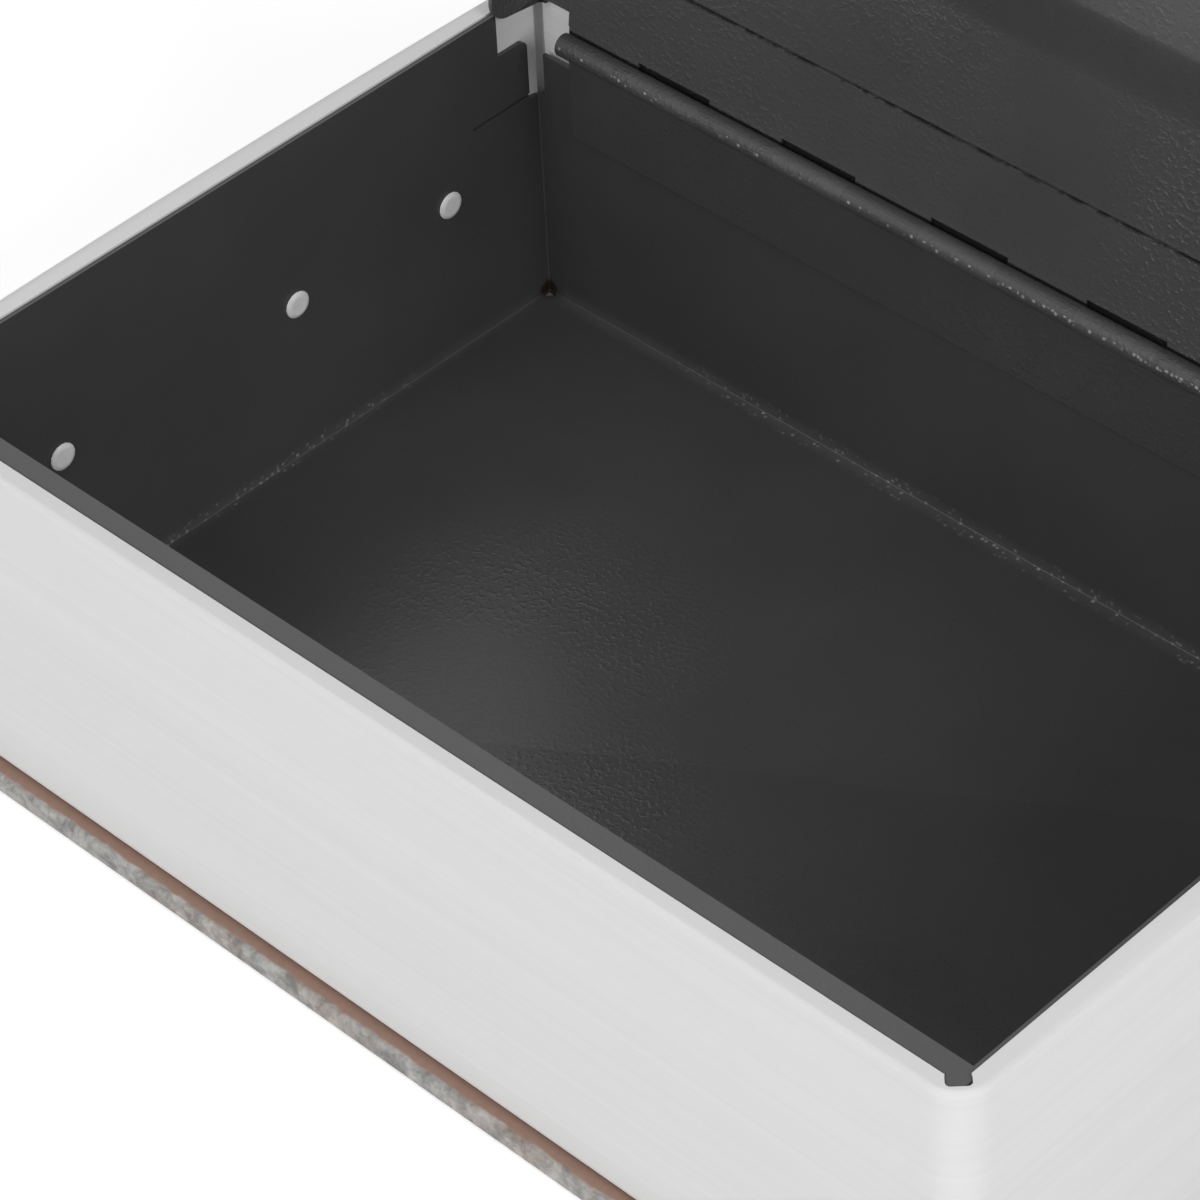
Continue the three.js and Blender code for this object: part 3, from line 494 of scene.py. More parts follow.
def mixed(tree, factor, first, second, blend="MIX"):
    """A mix of two colours, each an output or a fixed colour."""
    node = tree.nodes.new("ShaderNodeMix")
    node.data_type = "RGBA"
    node.blend_type = blend
    for name, value in (("A", first), ("B", second)):
        if isinstance(value, tuple):
            node.inputs[name].default_value = (*value, 1.0)
        else:
            tree.links.new(value, node.inputs[name])
    if isinstance(factor, float):
        node.inputs["Factor"].default_value = factor
    else:
        tree.links.new(factor, node.inputs["Factor"])
    return node.outputs["Result"]


def shaded(colour, share):
    """A colour made darker or paler by a share of itself."""
    return tuple(min(1.0, channel * share) for channel in colour)


def mottled(tree, pattern, span, colour, shades):
    """A colour that goes from its darkest to its palest shade as a pattern goes through a span."""
    darkest, palest = shades
    return mixed(tree, rising(tree, pattern, *span), shaded(colour, darkest), shaded(colour, palest))


def recoloured(tree, shader, mask, colour, blend="MIX"):
    """Mixes another colour into the shader's own where the mask is one."""
    socket = shader.inputs["Base Color"]
    tree.links.new(mixed(tree, mask, socket.links[0].from_socket, colour, blend), socket)


def reshaded(tree, shader, mask, share):
    """Makes the shader's colour darker or paler where the mask is one."""
    recoloured(tree, shader, mask, (share, share, share), "MULTIPLY")


def roughened(tree, shader, mask, more):
    """Makes the shader rougher by the given amount where the mask is one."""
    socket = shader.inputs["Roughness"]
    tree.links.new(number_of(tree, "ADD", socket.links[0].from_socket, product(tree, mask, more)), socket)


def add_bump(tree, shader, height, relief, under=None):
    """A bump on the shader's normal, over another bump where one is given."""
    distance, strength = relief
    node = tree.nodes.new("ShaderNodeBump")
    node.inputs["Distance"].default_value = distance
    node.inputs["Strength"].default_value = strength
    tree.links.new(height, node.inputs["Height"])
    if under is not None:
        tree.links.new(under, node.inputs["Normal"])
    tree.links.new(node.outputs["Normal"], shader.inputs["Normal"])
    return node.outputs["Normal"]


def add_glint_specks(tree, shader, mask, share):
    """Painted glints: pale specks where the mask is one, on a share of the cells of a fine pattern."""
    cells = tree.nodes.new("ShaderNodeTexVoronoi")
    cells.inputs["Scale"].default_value = SPECK_SCALE
    tree.links.new(object_point(tree), cells.inputs["Vector"])
    dot = falling(tree, cells.outputs["Distance"], *SPECK_SPAN)
    chance = tree.nodes.new("ShaderNodeSeparateColor")
    tree.links.new(cells.outputs["Color"], chance.inputs["Color"])
    kept = number_of(tree, "LESS_THAN", chance.outputs["Red"], share)
    strength = ranged(tree, chance.outputs["Green"], 0.0, 1.0, LEAST_SPECK_SHARE, 1.0)
    recoloured(tree, shader, product(tree, kept, dot, strength, mask), SPECK_COLOUR)


# The line about which the lid turns

def joint_named(name):
    return next(joint for joint in frame["joints"] if joint["name"] == name)


def open_angle(name):
    """How far a joint stands open in the frame, in radians."""
    return math.radians(joint_named(name)["range_deg"][1])


def hinge_line():
    """A point on the line about which the lid turns."""
    return Vector(joint_named("lid_hinge")["pos_m"])


def from_hinge_line(tree, point):
    """The distance from the line about which the lid turns."""
    flat = vector_of(tree, "MULTIPLY", point, (0.0, 1.0, 1.0))
    middle = hinge_line()
    return vector_of(tree, "DISTANCE", flat, (0.0, middle.y, middle.z))


def knuckle_radius():
    """Half the width of the hinge's barrel."""
    return hinge_line().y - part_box("tray_hinge_leaf")[0].y


def along_lid():
    """The direction in which the open lid stands up from its hinge line."""
    angle = open_angle("lid_hinge")
    return Vector((0.0, -math.cos(angle), math.sin(angle)))


# Materials

def powder_coat(name="powder_coat", paleness=1.0, wrinkled=None):
    """Dark grey powder coat with an orange peel, strongest in a wrinkled place where one is given."""
    # A paleness above one gives a paler copy of the coat: painted light.
    colour = shaded(finish().coat_colour, paleness)
    rough = finish().coat_roughness
    peel_size = sizes().peel_size
    material, tree, shader = new_material(name, colour, rough)
    point = object_point(tree)
    tint = mottled(tree, noise(tree, point, COAT_CLOUD), MIDDLE_SPAN, colour, COAT_SHADES)
    tree.links.new(tint, shader.inputs["Base Color"])
    fine = noise(tree, point, FINE_PEEL, peel_size)
    sheen = ranged(tree, fine, *MIDDLE_SPAN, rough - COAT_SMOOTHER, rough + COAT_ROUGHER)
    tree.links.new(sheen, shader.inputs["Roughness"])
    dents = rising(tree, noise(tree, point, PEEL, peel_size), *DENT_SPAN)
    patches = ranged(tree, noise(tree, point, PATCHES), *PATCH_SPAN, BETWEEN_PATCHES_SHARE, 1.0)
    if wrinkled is not None:
        middle, reach = wrinkled
        away = vector_of(tree, "DISTANCE", point, middle)
        near = ranged(tree, away, WRINKLE_CORE_SHARE * reach, reach, 1.0, PAST_WRINKLES_SHARE)
        patches = product(tree, patches, near)
    wide = add_bump(tree, shader, product(tree, dents, patches), DENT_RELIEF)
    add_bump(tree, shader, fine, FINE_RELIEF, wide)
    return material


def tray_coat():
    """The coat on the tray, with painted shadow lines at the rim joint, painted shade in the relief holes,
    and bends painted paler with pale specks: painted highlights and glints.
    """
    low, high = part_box("tray")
    middle = (*sizes().wrinkle_place, low.z)
    material = powder_coat("powder_coat_tray", wrinkled=(middle, sizes().wrinkle_reach))
    tree = material.node_tree
    shader = tree.nodes["Principled BSDF"]
    point = object_point(tree)
    # Painted shadow lines where the rim meets the plastic.
    add_rim_shadow_lines(tree, shader, point, low, high)
    mirrored = vector_of(tree, "ABSOLUTE", point, (0.0, 0.0, 0.0))
    # Painted shade: a dark red-brown spot at each rear relief hole, for the shaded endpaper under it.
    centre = (high.x - HOLE_INSET_X, high.y - HOLE_INSET_Y, low.z + HOLE_HEIGHT)
    from_hole = vector_of(tree, "DISTANCE", mirrored, centre)
    recoloured(tree, shader, ranged(tree, from_hole, *HOLE_SPAN, HOLE_SHADE_SHARE, 0.0), HOLE_SHADE_COLOUR)
    # Painted highlight: the bends between floor and walls are painted paler.
    bend = product(tree, near_bends(tree, mirrored, low, high), rising(tree, from_hole, *ROUND_HOLE_SPAN))
    reshaded(tree, shader, bend, BEND_HIGHLIGHT_SHARE)
    # Painted glints: pale specks along the bends, fewer near the relief holes.
    glinting = ranged(tree, from_hole, *GLINT_SPAN, 0.0, GLINT_SHARE)
    add_glint_specks(tree, shader, product(tree, bend, glinting), BEND_GLINT_SHARE)
    return material


def add_rim_shadow_lines(tree, shader, point, low, high):
    """A painted shadow line, also made rougher, where the tray's rim meets the plastic, at its right and at
    its front.
    """
    x, y, z = axes_of(tree, point)
    right = rising(tree, x, high.x - SIDE_LINE, high.x - SIDE_LINE + LINE_BLUR)
    front = falling(tree, y, low.y + FRONT_LINE - LINE_BLUR, low.y + FRONT_LINE)
    top = rising(tree, z, high.z - LINE_DEPTH, high.z - LINE_DEPTH + LINE_BLUR)
    line = product(tree, number_of(tree, "MAXIMUM", right, front), top)
    reshaded(tree, shader, line, LINE_SHADE_SHARE)
    roughened(tree, shader, line, LINE_ROUGHER)


def near_bends(tree, mirrored, low, high):
    """One along the bends between the tray's floor and its short and rear walls."""
    foot = low.z + STEEL_SHEET
    across = vector_of(tree, "MULTIPLY", mirrored, (1.0, 0.0, 1.0))
    side = vector_of(tree, "DISTANCE", across, (high.x - STEEL_SHEET, 0.0, foot))
    endways = vector_of(tree, "MULTIPLY", mirrored, (0.0, 1.0, 1.0))
    end = vector_of(tree, "DISTANCE", endways, (0.0, high.y - STEEL_SHEET, foot))
    return falling(tree, number_of(tree, "MINIMUM", side, end), *BEND_SPAN)


def lid_coat():
    """The coat on the lid, painted paler all over as painted light, with painted shade in the recess behind
    the knuckles and a pressed field painted paler still as painted light.
    """
    material = powder_coat("powder_coat_lid", LID_LIGHT_SHARE)
    tree = material.node_tree
    shader = tree.nodes["Principled BSDF"]
    point = object_point(tree)
    # Painted shade in the recess behind the knuckles.
    recess = falling(tree, from_hinge_line(tree, point), *RECESS_SPAN)
    reshaded(tree, shader, recess, RECESS_SHADE_SHARE)
    up = along_lid()
    start = up.dot(hinge_line()) + sizes().ramp_end
    along = vector_of(tree, "DOT_PRODUCT", point, up)
    begins = rising(tree, along, *(start + share * sizes().ramp_growth for share in FIELD_START_SHARES))
    ends = falling(tree, along, *(start + depth for depth in FIELD_DEPTH_SPAN))
    across = vector_of(tree, "ABSOLUTE", point, (0.0, 0.0, 0.0))
    inside = falling(tree, vector_of(tree, "DOT_PRODUCT", across, (1.0, 0.0, 0.0)), *FIELD_SIDE_SPAN)
    # Painted light: the pressed field is painted paler.
    reshaded(tree, shader, product(tree, begins, ends, inside), FIELD_LIGHT_SHARE)
    return material


def hinge_coat(name, leaf_width, break_share, crevice_share):
    """The coat on a hinge leaf: duller on the barrel, painted paler as painted light where a crevice share
    is given, with painted shade in the crevice, a broken painted shadow line along the leaf's edge and
    painted glints as specks.
    """
    # Painted light: the coat is made paler by the crevice share.
    material = powder_coat(name, 1.0 + LEAF_LIGHT_SHARE * crevice_share)
    tree = material.node_tree
    shader = tree.nodes["Principled BSDF"]
    point = object_point(tree)
    reach = from_hinge_line(tree, point)
    barrel = knuckle_radius()
    dull = ranged(tree, reach, barrel, barrel + LINE_BLUR, BARREL_ROUGHNESS, finish().coat_roughness)
    tree.links.new(dull, shader.inputs["Roughness"])
    # Painted shade in the crevice where the barrel meets the leaf.
    starts = ranged(tree, reach, barrel - CREVICE_BLUR, barrel + CREVICE_BLUR, 0.0, crevice_share)
    stops = falling(tree, reach, *(barrel + width for width in CREVICE_SPAN))
    reshaded(tree, shader, product(tree, starts, stops), CREVICE_SHADE_SHARE)
    # Painted shadow: a broken dark line along the leaf's outer edge.
    edge = rising(tree, reach, leaf_width - LEAF_LINE_START, leaf_width - LEAF_LINE_END)
    breaks = ranged(tree, noise(tree, point, LEAF_WANDER), *LEAF_BREAK_SPAN, break_share, 1.0)
    reshaded(tree, shader, product(tree, edge, breaks), LEAF_LINE_SHADE_SHARE)
    # Painted glints: pale specks on the front of the barrel's lower half, more of them to the right.
    x, y, z = axes_of(tree, point)
    middle = hinge_line()
    above = rising(tree, z, *(middle.z + share * barrel for share in GLINT_FOOT_SHARES))
    below = falling(tree, z, *(middle.z + share * barrel for share in GLINT_TOP_SHARES))
    front = falling(tree, y, *(middle.y - share * barrel for share in GLINT_FRONT_SHARES))
    share = ranged(tree, x, *BARREL_SPECK_SPAN, *BARREL_SPECK_SHARES)
    add_glint_specks(tree, shader, product(tree, above, below, front), share)
    return material


def page_plastic():
    """White plastic moulded with fine level lines, like the edges of pages."""
    colour = tuple(finish().plastic_colour)
    material, tree, shader = new_material("page_plastic", colour, PAGE_ROUGHNESS)
    shader.inputs["Specular IOR Level"].default_value = PAGE_SPECULAR
    shader.inputs["Subsurface Weight"].default_value = PAGE_SCATTER_SHARE
    shader.inputs["Subsurface Radius"].default_value = (PAGE_SCATTER, PAGE_SCATTER, PAGE_SCATTER)
    lines = noise(tree, object_point(tree, PAGE_LINES_STRETCH), PAGE_LINES)
    waves = noise(tree, object_point(tree, PAGE_WAVES_STRETCH), PAGE_WAVES)
    tint = mottled(tree, number_of(tree, "ADD", lines, waves), PAGE_SPAN, colour, PAGE_SHADES)
    tree.links.new(tint, shader.inputs["Base Color"])
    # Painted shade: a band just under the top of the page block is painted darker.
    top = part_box("page_block")[1].z
    edge = sizes().top_round
    z = axes_of(tree, object_point(tree))[2]
    starts = rising(tree, z, top - edge, top - TOP_START_SHARE * edge)
    stops = falling(tree, z, top - TOP_END_SHARE * edge, top)
    reshaded(tree, shader, product(tree, starts, stops), TOP_SHADE_SHARE)
    first = add_bump(tree, shader, lines, PAGE_LINES_RELIEF)
    add_bump(tree, shader, waves, PAGE_WAVES_RELIEF, first)
    return material


def pin_plastic():
    """Smooth white plastic with a faint cloud."""
    colour = tuple(finish().pin_colour)
    material, tree, shader = new_material("pin_plastic", colour, PIN_ROUGHNESS)
    cloud = noise(tree, object_point(tree), PIN_CLOUD)
    tree.links.new(mottled(tree, cloud, PIN_SPAN, colour, PIN_SHADES), shader.inputs["Base Color"])
    add_bump(tree, shader, cloud, PIN_RELIEF)
    return material


def marbled(tree, point, grey):
    """A soft grey marbling with veins and warm clouds."""
    drift = noise(tree, point, DRIFT).node.outputs["Color"]
    centred = vector_of(tree, "SUBTRACT", drift, (0.5, 0.5, 0.5))
    shift = vector_of(tree, "MULTIPLY", centred, (DRIFT_REACH, DRIFT_REACH, DRIFT_REACH))
    veins = noise(tree, vector_of(tree, "ADD", point, shift), VEINS)
    clouds = noise(tree, point, WARM_CLOUDS)
    warm = tuple(channel * share for channel, share in zip(grey, WARM_SHARES))
    base = mixed(tree, rising(tree, clouds, *WARM_SPAN), grey, warm)
    return mixed(tree, 1.0, base, ranged(tree, veins, *VEIN_SPAN, *VEIN_SHADES), "MULTIPLY")


def within(tree, point, reaches):
    """One inside every reach, each given as a direction and how far it goes, with a wandering soft edge."""
    wander = noise(tree, point, EDGE_WANDER)
    shift = ranged(tree, wander, *MIDDLE_SPAN, -EDGE_WANDER_REACH, EDGE_WANDER_REACH)
    inside = []
    for direction, reach in reaches:
        along = number_of(tree, "ADD", vector_of(tree, "DOT_PRODUCT", point, direction), shift)
        inside.append(falling(tree, along, reach - EDGE_BLUR, reach + EDGE_BLUR))
    return product(tree, *inside)


def printed_paper(name, inward, level, reaches):
    """The cover sheet: marbled grey, but brown inwards of a level and inside the reaches."""
    grey = tuple(finish().print_colour)
    brown = tuple(finish().turn_in_colour)
    material, tree, shader = new_material(name, grey, PRINT_ROUGHNESS)
    point = object_point(tree)
    fibres = noise(tree, point, PRINT_FIBRES)
    inside = mottled(tree, fibres, MIDDLE_SPAN, brown, TURN_IN_SHADES)
    depth = vector_of(tree, "DOT_PRODUCT", point, inward)
    deep = rising(tree, depth, level - LEVEL_BEFORE, level + LEVEL_PAST)
    share = product(tree, deep, within(tree, point, reaches))
    tree.links.new(mixed(tree, share, marbled(tree, point, grey), inside), shader.inputs["Base Color"])
    add_bump(tree, shader, fibres, PAPER_RELIEF)
    return material


def plain_paper():
    """Brown endpaper with a fibre grain."""
    colour = tuple(finish().turn_in_colour)
    material, tree, shader = new_material("endpaper", colour, ENDPAPER_ROUGHNESS)
    fibres = noise(tree, object_point(tree, ENDPAPER_STRETCH), ENDPAPER_FIBRES)
    tree.links.new(mottled(tree, fibres, MIDDLE_SPAN, colour, ENDPAPER_SHADES), shader.inputs["Base Color"])
    add_bump(tree, shader, fibres, PAPER_RELIEF)
    return material


def greyboard():
    """Pressed grey board with darker flecks."""
    colour = tuple(finish().board_colour)
    material, tree, shader = new_material("greyboard", colour, BOARD_ROUGHNESS)
    flecks = noise(tree, object_point(tree), BOARD_FLECKS)
    tree.links.new(mottled(tree, flecks, BOARD_SPAN, colour, BOARD_SHADES), shader.inputs["Base Color"])
    add_bump(tree, shader, flecks, BOARD_RELIEF)
    return material


def plated_metal(name, colour, roughness, stretch):
    """Metal with fine machining marks along one direction."""
    material, tree, shader = new_material(name, colour, roughness, 1.0)
    marks = noise(tree, object_point(tree, stretch), METAL_MARKS)
    sheen = ranged(tree, marks, *MIDDLE_SPAN, *(roughness * share for share in METAL_ROUGHNESS_SHARES))
    tree.links.new(sheen, shader.inputs["Roughness"])
    tree.links.new(mottled(tree, marks, MIDDLE_SPAN, colour, METAL_SHADES), shader.inputs["Base Color"])
    add_bump(tree, shader, marks, METAL_RELIEF)
    return material


def zinc():
    """The plated metal of the pin and the lock, made the first time it is asked for."""
    made = bpy.data.materials.get("zinc_plate")
    return made or plated_metal("zinc_plate", tuple(finish().zinc_colour), ZINC_ROUGHNESS, ZINC_STRETCH)


# Pieces made from the frame's own shapes

def paint(node, material):
    """Gives a CAD node a material."""
    mesh = frame["nodes"][node].data
    mesh.materials.clear()
    mesh.materials.append(material)


def merged_copy(node):
    """The frame's shape as one joined mesh with its flat faces whole."""
    shape = bmesh.new()
    shape.from_mesh(frame["nodes"][node].data)
    bmesh.ops.remove_doubles(shape, verts=shape.verts, dist=WELD)
    bmesh.ops.dissolve_limit(shape, angle_limit=FLAT_ANGLE, verts=shape.verts, edges=shape.edges)
    return shape


def inside_bends(shape):
    """The long edges where two faces meet in a hollow corner."""
    return [
        e for e in shape.edges
        if e.is_manifold and e.calc_face_angle_signed(0.0) < HOLLOW_ANGLE and e.calc_length() > LEAST_BEND
    ]


def sharp_edges(shape, least_angle=SHARP_ANGLE):
    return [e for e in shape.edges if e.is_manifold and e.calc_face_angle(0.0) > least_angle]


def round_edges(shape, edges, width, steps):
    bmesh.ops.bevel(
        shape,
        geom=edges,
        offset=width,
        offset_type="OFFSET",
        affect="EDGES",
        segments=steps,
        profile=0.5,
        material=-1,
        clamp_overlap=True,
    )


def sliced(shape, start, end, slices):
    """Cuts the shape across its depth into slices between two places."""
    for step in range(1, slices):
        place = start + (end - start) * step / slices
        everything = [*shape.verts, *shape.edges, *shape.faces]
        bmesh.ops.bisect_plane(shape, geom=everything, plane_co=(0.0, place, 0.0), plane_no=(0.0, 1.0, 0.0))


def finished_piece(node, shape, body, material):
    """A mesh object in place of a CAD node, riding on a body where one is given."""
    name = node + "_finished"
    mesh = bpy.data.meshes.new(name)
    shape.to_mesh(mesh)
    shape.free()
    mesh.materials.append(material)
    mesh.shade_smooth()
    mesh.set_sharp_from_angle(angle=SMOOTH_ANGLE)
    piece = bpy.data.objects.new(name, mesh)
    bpy.context.scene.collection.objects.link(piece)
    weighting = piece.modifiers.new("flat_faces", "WEIGHTED_NORMAL")
    weighting.weight = 100
    weighting.keep_sharp = True
    if body is not None:
        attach(piece, body)
    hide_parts(node)
    return piece


def softened(node, body, material, width, steps=EDGE_STEPS, least_angle=SHARP_ANGLE):
    """A copy of a CAD node with its edges rounded."""
    shape = merged_copy(node)
    round_edges(shape, sharp_edges(shape, least_angle), width, steps)
    finished_piece(node, shape, body, material)


def folded_sheet(node, body, material, reshape=None):
    """A copy of a folded steel part with round inside bends and soft cut edges."""
    shape = merged_copy(node)
    if reshape is not None:
        reshape(shape)
    round_edges(shape, inside_bends(shape), sizes().inside_bend, BEND_STEPS)
    round_edges(shape, sharp_edges(shape, FOLDED_SHARP_ANGLE), sizes().steel_edge, EDGE_STEPS)
    finished_piece(node, shape, body, material)


def farthest(node, direction):
    """How far a CAD node reaches along a direction."""
    return max(v.co.dot(Vector(direction)) for v in frame["nodes"][node].data.vertices)


def hinge_leaf(node, body, leaf_edge, break_share, crevice_share):
    """A hinge leaf whose knuckles nearly close their seams, as under the coat."""
    shape = merged_copy(node)
    for face in shape.faces:
        if abs(face.normal.x) > KNUCKLE_SIDE_SHARE:
            shift = math.copysign(sizes().knuckle_seam, face.normal.x)
            bmesh.ops.translate(shape, verts=face.verts, vec=(shift, 0.0, 0.0))
    middle = hinge_line()

    def reach(vert):
        return math.hypot(vert.co.y - middle.y, vert.co.z - middle.z)

    width = max(reach(v) for v in shape.verts)
    off_barrel = OFF_BARREL_SHARE * knuckle_radius()
    outer = [e for e in sharp_edges(shape) if min(reach(v) for v in e.verts) > off_barrel]
    round_edges(shape, outer, leaf_edge, LEAF_STEPS)
    round_edges(shape, sharp_edges(shape), sizes().knuckle_edge, EDGE_STEPS)
    material = hinge_coat("powder_coat_" + node, width, break_share, crevice_share)
    finished_piece(node, shape, body, material)


def joint_strip(material):
    """The strip between the spine and the front cover, cut into slices across its depth."""
    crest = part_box("spine_board")[1].y
    low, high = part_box("front_joint")
    shape = merged_copy("front_joint")
    sliced(shape, crest, high.y, sizes().joint_steps)
    piece = finished_piece("front_joint", shape, None, material)
    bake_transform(piece)


def widened_ramp(shape):
    """Widens the pressed ramp of the lid on its hinge side, fading out across the field."""
    size = sizes()
    up = along_lid()
    start = hinge_line().dot(up)
    middle = (size.ramp_start + size.ramp_end) / 2
    half = (size.ramp_end - size.ramp_start) / 2
    for vert in shape.verts:
        along = vert.co.dot(up) - start
        if size.ramp_start - size.steel_edge < along < size.ramp_fade:
            growing = (along - middle) / half
            fading = (size.ramp_fade - along) / (size.ramp_fade - size.ramp_end)
            vert.co += up * (size.ramp_growth * min(growing, fading))


def page_block_piece(material):
    """The moulded block: soft edges round the tray, and short walls that bow out a little."""
    shape = merged_copy("page_block")
    low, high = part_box("tray")
    left = low.x * JUST_PAST_SHARE
    right = high.x * JUST_PAST_SHARE
    opening = [
        e for e in sharp_edges(shape)
        if all(v.co.z > high.z and left < v.co.x < right for v in e.verts)
    ]
    round_edges(shape, opening, sizes().opening_edge, BEND_STEPS)
    round_edges(shape, sharp_edges(shape), sizes().plastic_edge, EDGE_STEPS)
    bow_short_walls(shape)
    finished_piece("page_block", shape, "book", material)


def bow_short_walls(shape):
    """Moves the outer faces of the short walls out, most at the top of their middle."""
    low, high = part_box("page_block")
    middle = (low.y + high.y) / 2
    reach = (high.y - low.y) / 2
    sliced(shape, low.y, high.y, WALL_SLICES)
    outer = high.x - WALL_FACE_EDGES * sizes().plastic_edge
    for vert in shape.verts:
        if abs(vert.co.x) > outer:
            along = max(0.0, 1.0 - ((vert.co.y - middle) / reach) ** 2)
            up = (vert.co.z - low.z) / (high.z - low.z)
            vert.co.x += math.copysign(sizes().wall_bow * along * up, vert.co.x)


def print_covers():
    """Prints the cover sheets outside, and leaves them brown where they are turned in."""
    edge = sizes().turn_in_inset
    up = (0.0, 0.0, 1.0)
    sheet_reach = {way: farthest("back_cover_sheet", way) - edge for way in SHEET_WAYS}
    *sides, front = sheet_reach.items()
    spine = ((0.0, 1.0, 0.0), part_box("spine_board")[0].y)
    level = farthest("back_board", up)
    paint("back_cover_sheet", printed_paper("cover_print_back", up, level, [*sides, front, spine]))
    tilt = open_angle("cover_hinge")
    inward = (0.0, -math.sin(tilt), -math.cos(tilt))
    away = (0.0, -math.cos(tilt), math.sin(tilt))
    end = (away, farthest("front_cover_sheet", away) - edge)
    level = farthest("front_board", inward)
    paint("front_cover_sheet", printed_paper("cover_print_front", inward, level, [*sides, end]))
    level = farthest("front_joint", inward)
    joint_strip(printed_paper("cover_print_joint", inward, level, sides))


# Operators

class BOOKSAFE_OT_tray(bpy.types.Operator):
    """Finish the steel tray and the strike bracket"""

    bl_idname = "booksafe.tray"
    bl_label = "Tray"

    def execute(self, context):
        folded_sheet("tray", "book", tray_coat())
        softened("strike_bracket", "book", powder_coat(), sizes().steel_edge)
        return {"FINISHED"}


class BOOKSAFE_OT_page_block(bpy.types.Operator):
    """Finish the moulded page block and its pins"""

    bl_idname = "booksafe.page_block"
    bl_label = "Page block and pins"

    def execute(self, context):
        page_block_piece(page_plastic())
        plastic = pin_plastic()
        for node in frame["nodes"]:
            if node.startswith("page_pin"):
                softened(node, "book", plastic, sizes().pin_edge, PIN_STEPS, PIN_SHARP_ANGLE)
        return {"FINISHED"}


class BOOKSAFE_OT_hinge(bpy.types.Operator):
    """Finish the two hinge leaves and the pin"""

    bl_idname = "booksafe.hinge"
    bl_label = "Hinge"

    def execute(self, context):
        hinge_leaf("tray_hinge_leaf", "book", sizes().leaf_edge, 0.0, 0.0)
        hinge_leaf("lid_hinge_leaf", "lid", sizes().knuckle_edge, LID_LEAF_BREAK_SHARE, 1.0)
        paint("hinge_pin", zinc())
        return {"FINISHED"}


class BOOKSAFE_OT_lid(bpy.types.Operator):
    """Finish the pressed steel lid"""

    bl_idname = "booksafe.lid"
    bl_label = "Lid"

    def execute(self, context):
        folded_sheet("lid", "lid", lid_coat(), widened_ramp)
        return {"FINISHED"}


class BOOKSAFE_OT_lock(bpy.types.Operator):
    """Finish the cam lock in the lid"""

    bl_idname = "booksafe.lock"
    bl_label = "Lock"

    def execute(self, context):
        edge = sizes().lock_edge
        softened("lock_housing", "lid", zinc(), edge)
        for node in ("lock_washer", "lock_nut"):
            softened(node, "lid", zinc(), edge)
        brass = plated_metal("brass", tuple(finish().brass_colour), BRASS_ROUGHNESS, BRASS_STRETCH)
        softened("lock_plug", "lock_core", brass, edge)
        for node in ("lock_cam", "cam_washer", "cam_screw"):
            softened(node, "lock_core", zinc(), edge)
        return {"FINISHED"}


class BOOKSAFE_OT_covers(bpy.types.Operator):
    """Finish the covers, the spine and their joints"""

    bl_idname = "booksafe.covers"
    bl_label = "Covers"

    def execute(self, context):
        board = greyboard()
        for node in ("back_board", "spine_board", "front_board"):
            paint(node, board)
        print_covers()
        paper = plain_paper()
        for node in ("back_endpaper", "front_endpaper"):
            paint(node, paper)
        return {"FINISHED"}


class BOOKSAFE_OT_stage(bpy.types.Operator):
    """Set up the floor, the lights, the world and the camera"""

    bl_idname = "booksafe.stage"
    bl_label = "Stage"

    def execute(self, context):
        scene = context.scene
        scene.view_settings.view_transform = "Standard"
        make_floor()
        make_world(studio().surround)
        for name, (bearing, elevation) in LAMP_PLACES.items():
            soft_lamp(name, bearing, elevation, getattr(studio(), name + "_power"))
        make_camera(scene)
        return {"FINISHED"}


# Stage

def is_seen(tree):
    """One where a ray comes from the camera, a mirror or glass."""
    path = tree.nodes.new("ShaderNodeLightPath")
    total = path.outputs["Is Camera Ray"]
    for name in ("Is Glossy Ray", "Is Transmission Ray"):
        total = number_of(tree, "MAXIMUM", total, path.outputs[name])
    return total


def make_floor():
    """A wide pale floor that shows as white and keeps the shadow."""
    shape = bmesh.new()
    bmesh.ops.create_grid(shape, x_segments=1, y_segments=1, size=FLOOR_HALF_SIZE)
    mesh = bpy.data.meshes.new("floor")
    shape.to_mesh(mesh)
    shape.free()
    floor = bpy.data.objects.new("floor", mesh)
    bpy.context.scene.collection.objects.link(floor)
    material, tree, shader = new_material("pale_floor", FLOOR_COLOUR, FLOOR_ROUGHNESS)
    shader.inputs["Specular IOR Level"].default_value = 0.0
    shader.inputs["Emission Color"].default_value = (1.0, 1.0, 1.0, 1.0)
    glow = ranged(tree, is_seen(tree), 0.0, 1.0, 0.0, FLOOR_SEEN_STRENGTH)
    tree.links.new(glow, shader.inputs["Emission Strength"])
    mesh.materials.append(material)
    floor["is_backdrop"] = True


def make_world(strength):
    """Even light from all round, seen as white."""
    world = bpy.data.worlds.new("studio")
    bpy.context.scene.world = world
    world.use_nodes = True
    tree = world.node_tree
    background = tree.nodes["Background"]
    background.inputs["Color"].default_value = (1.0, 1.0, 1.0, 1.0)
    level = ranged(tree, is_seen(tree), 0.0, 1.0, strength, 1.0)
    tree.links.new(level, background.inputs["Strength"])


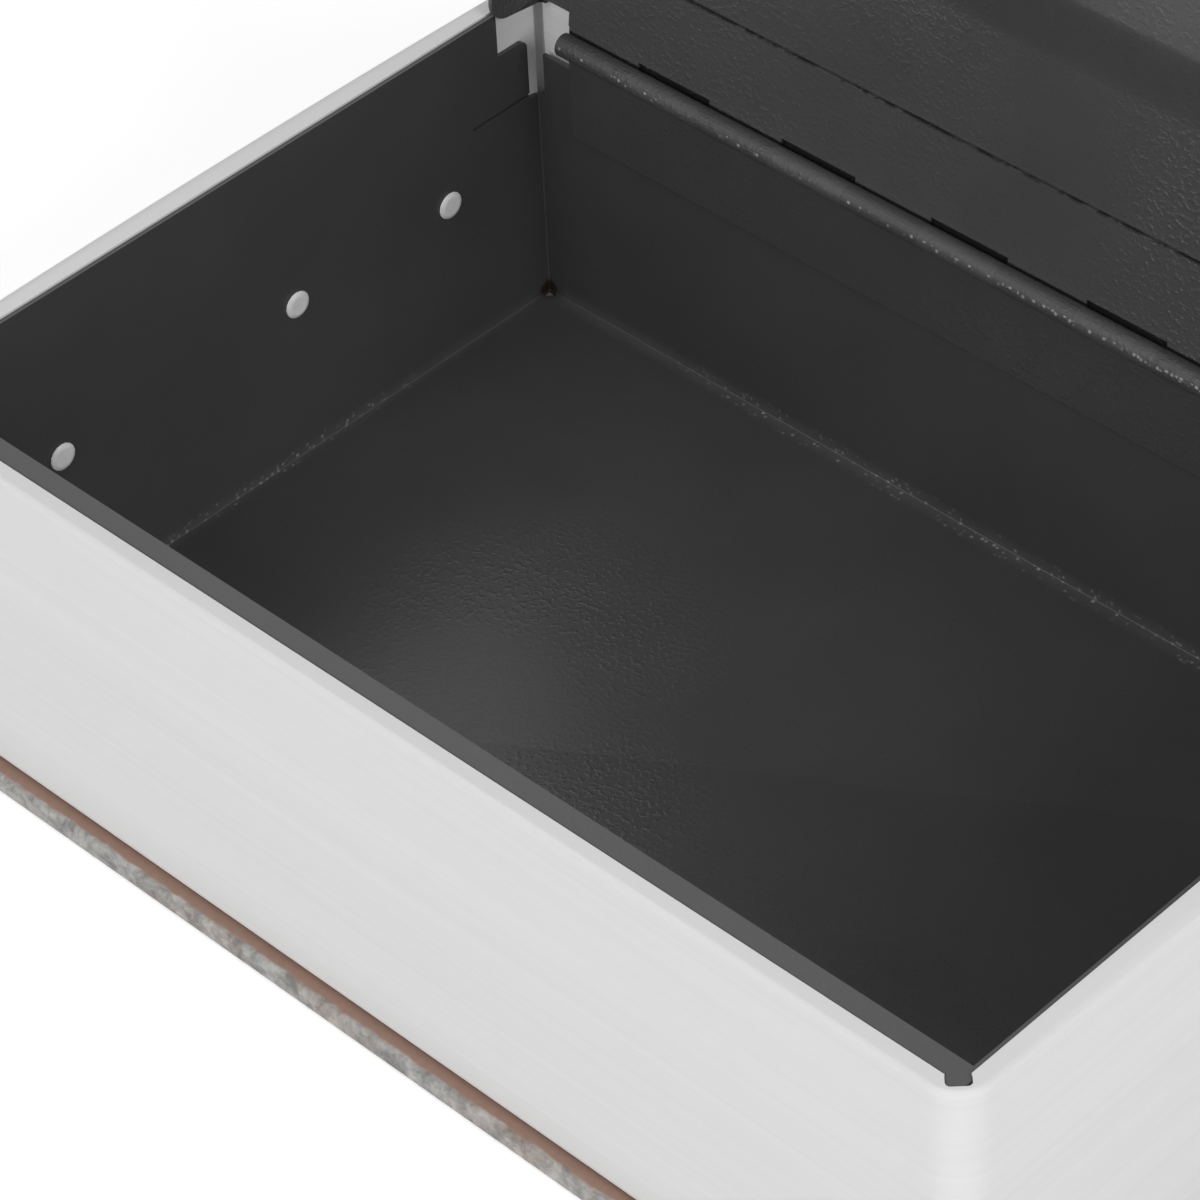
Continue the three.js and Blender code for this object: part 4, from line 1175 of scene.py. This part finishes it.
def soft_lamp(name, bearing, elevation, power):
    """A square lamp facing the book, at a bearing from the right-hand side and an elevation in degrees."""
    light = bpy.data.lights.new(name, "AREA")
    light.shape = "SQUARE"
    light.size = studio().lamp_size
    light.energy = power
    lamp = bpy.data.objects.new(name, light)
    low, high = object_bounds()
    middle = Vector((0.0, 0.0, (low[2] + high[2]) / 4))
    turn = Matrix.Rotation(math.radians(bearing), 4, "Z")
    lift = Matrix.Rotation(-math.radians(elevation), 4, "Y")
    towards = (turn @ lift @ Vector((1.0, 0.0, 0.0))).normalized()
    lamp.rotation_euler = towards.to_track_quat("Z", "Y").to_euler()
    lamp.location = middle + studio().lamp_distance * towards
    bpy.context.scene.collection.objects.link(lamp)


def make_camera(scene):
    look = studio()
    data = bpy.data.cameras.new("camera")
    data.sensor_width = SENSOR_WIDTH
    data.lens = look.focal_length
    data.clip_start = NEAREST_SEEN
    data.clip_end = FARTHEST_SEEN
    camera = bpy.data.objects.new("camera", data)
    turn = Matrix.Rotation(look.camera_turn, 4, "Z")
    tilt = Matrix.Rotation(math.pi / 2 - look.camera_tilt, 4, "X")
    roll = Matrix.Rotation(look.camera_roll, 4, "Z")
    camera.matrix_world = Matrix.Translation(look.camera_place) @ turn @ tilt @ roll
    scene.collection.objects.link(camera)
    scene.camera = camera


class BOOKSAFE_PT_panel(bpy.types.Panel):
    """Lists the steps that make the book safe"""

    bl_idname = "BOOKSAFE_PT_panel"
    bl_label = "Book safe"
    bl_space_type = "VIEW_3D"
    bl_region_type = "UI"
    bl_category = "Book safe"

    def draw(self, context):
        for step in STEPS:
            self.layout.operator(step.bl_idname)
        for group in (sizes(), finish(), studio()):
            box = self.layout.box()
            for name in group.bl_rna.properties.keys():
                if name not in {"rna_type", "name"}:
                    box.prop(group, name)


STEPS = (
    BOOKSAFE_OT_tray,
    BOOKSAFE_OT_page_block,
    BOOKSAFE_OT_hinge,
    BOOKSAFE_OT_lid,
    BOOKSAFE_OT_lock,
    BOOKSAFE_OT_covers,
    BOOKSAFE_OT_stage,
)
GROUPS = (BOOKSAFE_PG_sizes, BOOKSAFE_PG_finish, BOOKSAFE_PG_studio)


def register():
    for cls in (*GROUPS, *STEPS, BOOKSAFE_PT_panel):
        bpy.utils.register_class(cls)
    bpy.types.Scene.booksafe_sizes = bpy.props.PointerProperty(type=BOOKSAFE_PG_sizes)
    bpy.types.Scene.booksafe_finish = bpy.props.PointerProperty(type=BOOKSAFE_PG_finish)
    bpy.types.Scene.booksafe_studio = bpy.props.PointerProperty(type=BOOKSAFE_PG_studio)


def unregister():
    del bpy.types.Scene.booksafe_studio
    del bpy.types.Scene.booksafe_finish
    del bpy.types.Scene.booksafe_sizes
    for cls in reversed((*GROUPS, *STEPS, BOOKSAFE_PT_panel)):
        bpy.utils.unregister_class(cls)


def main():
    register()
    bpy.ops.booksafe.tray()
    bpy.ops.booksafe.page_block()
    bpy.ops.booksafe.hinge()
    bpy.ops.booksafe.lid()
    bpy.ops.booksafe.lock()
    bpy.ops.booksafe.covers()
    bpy.ops.booksafe.stage()


if __name__ == "__main__":
    main()
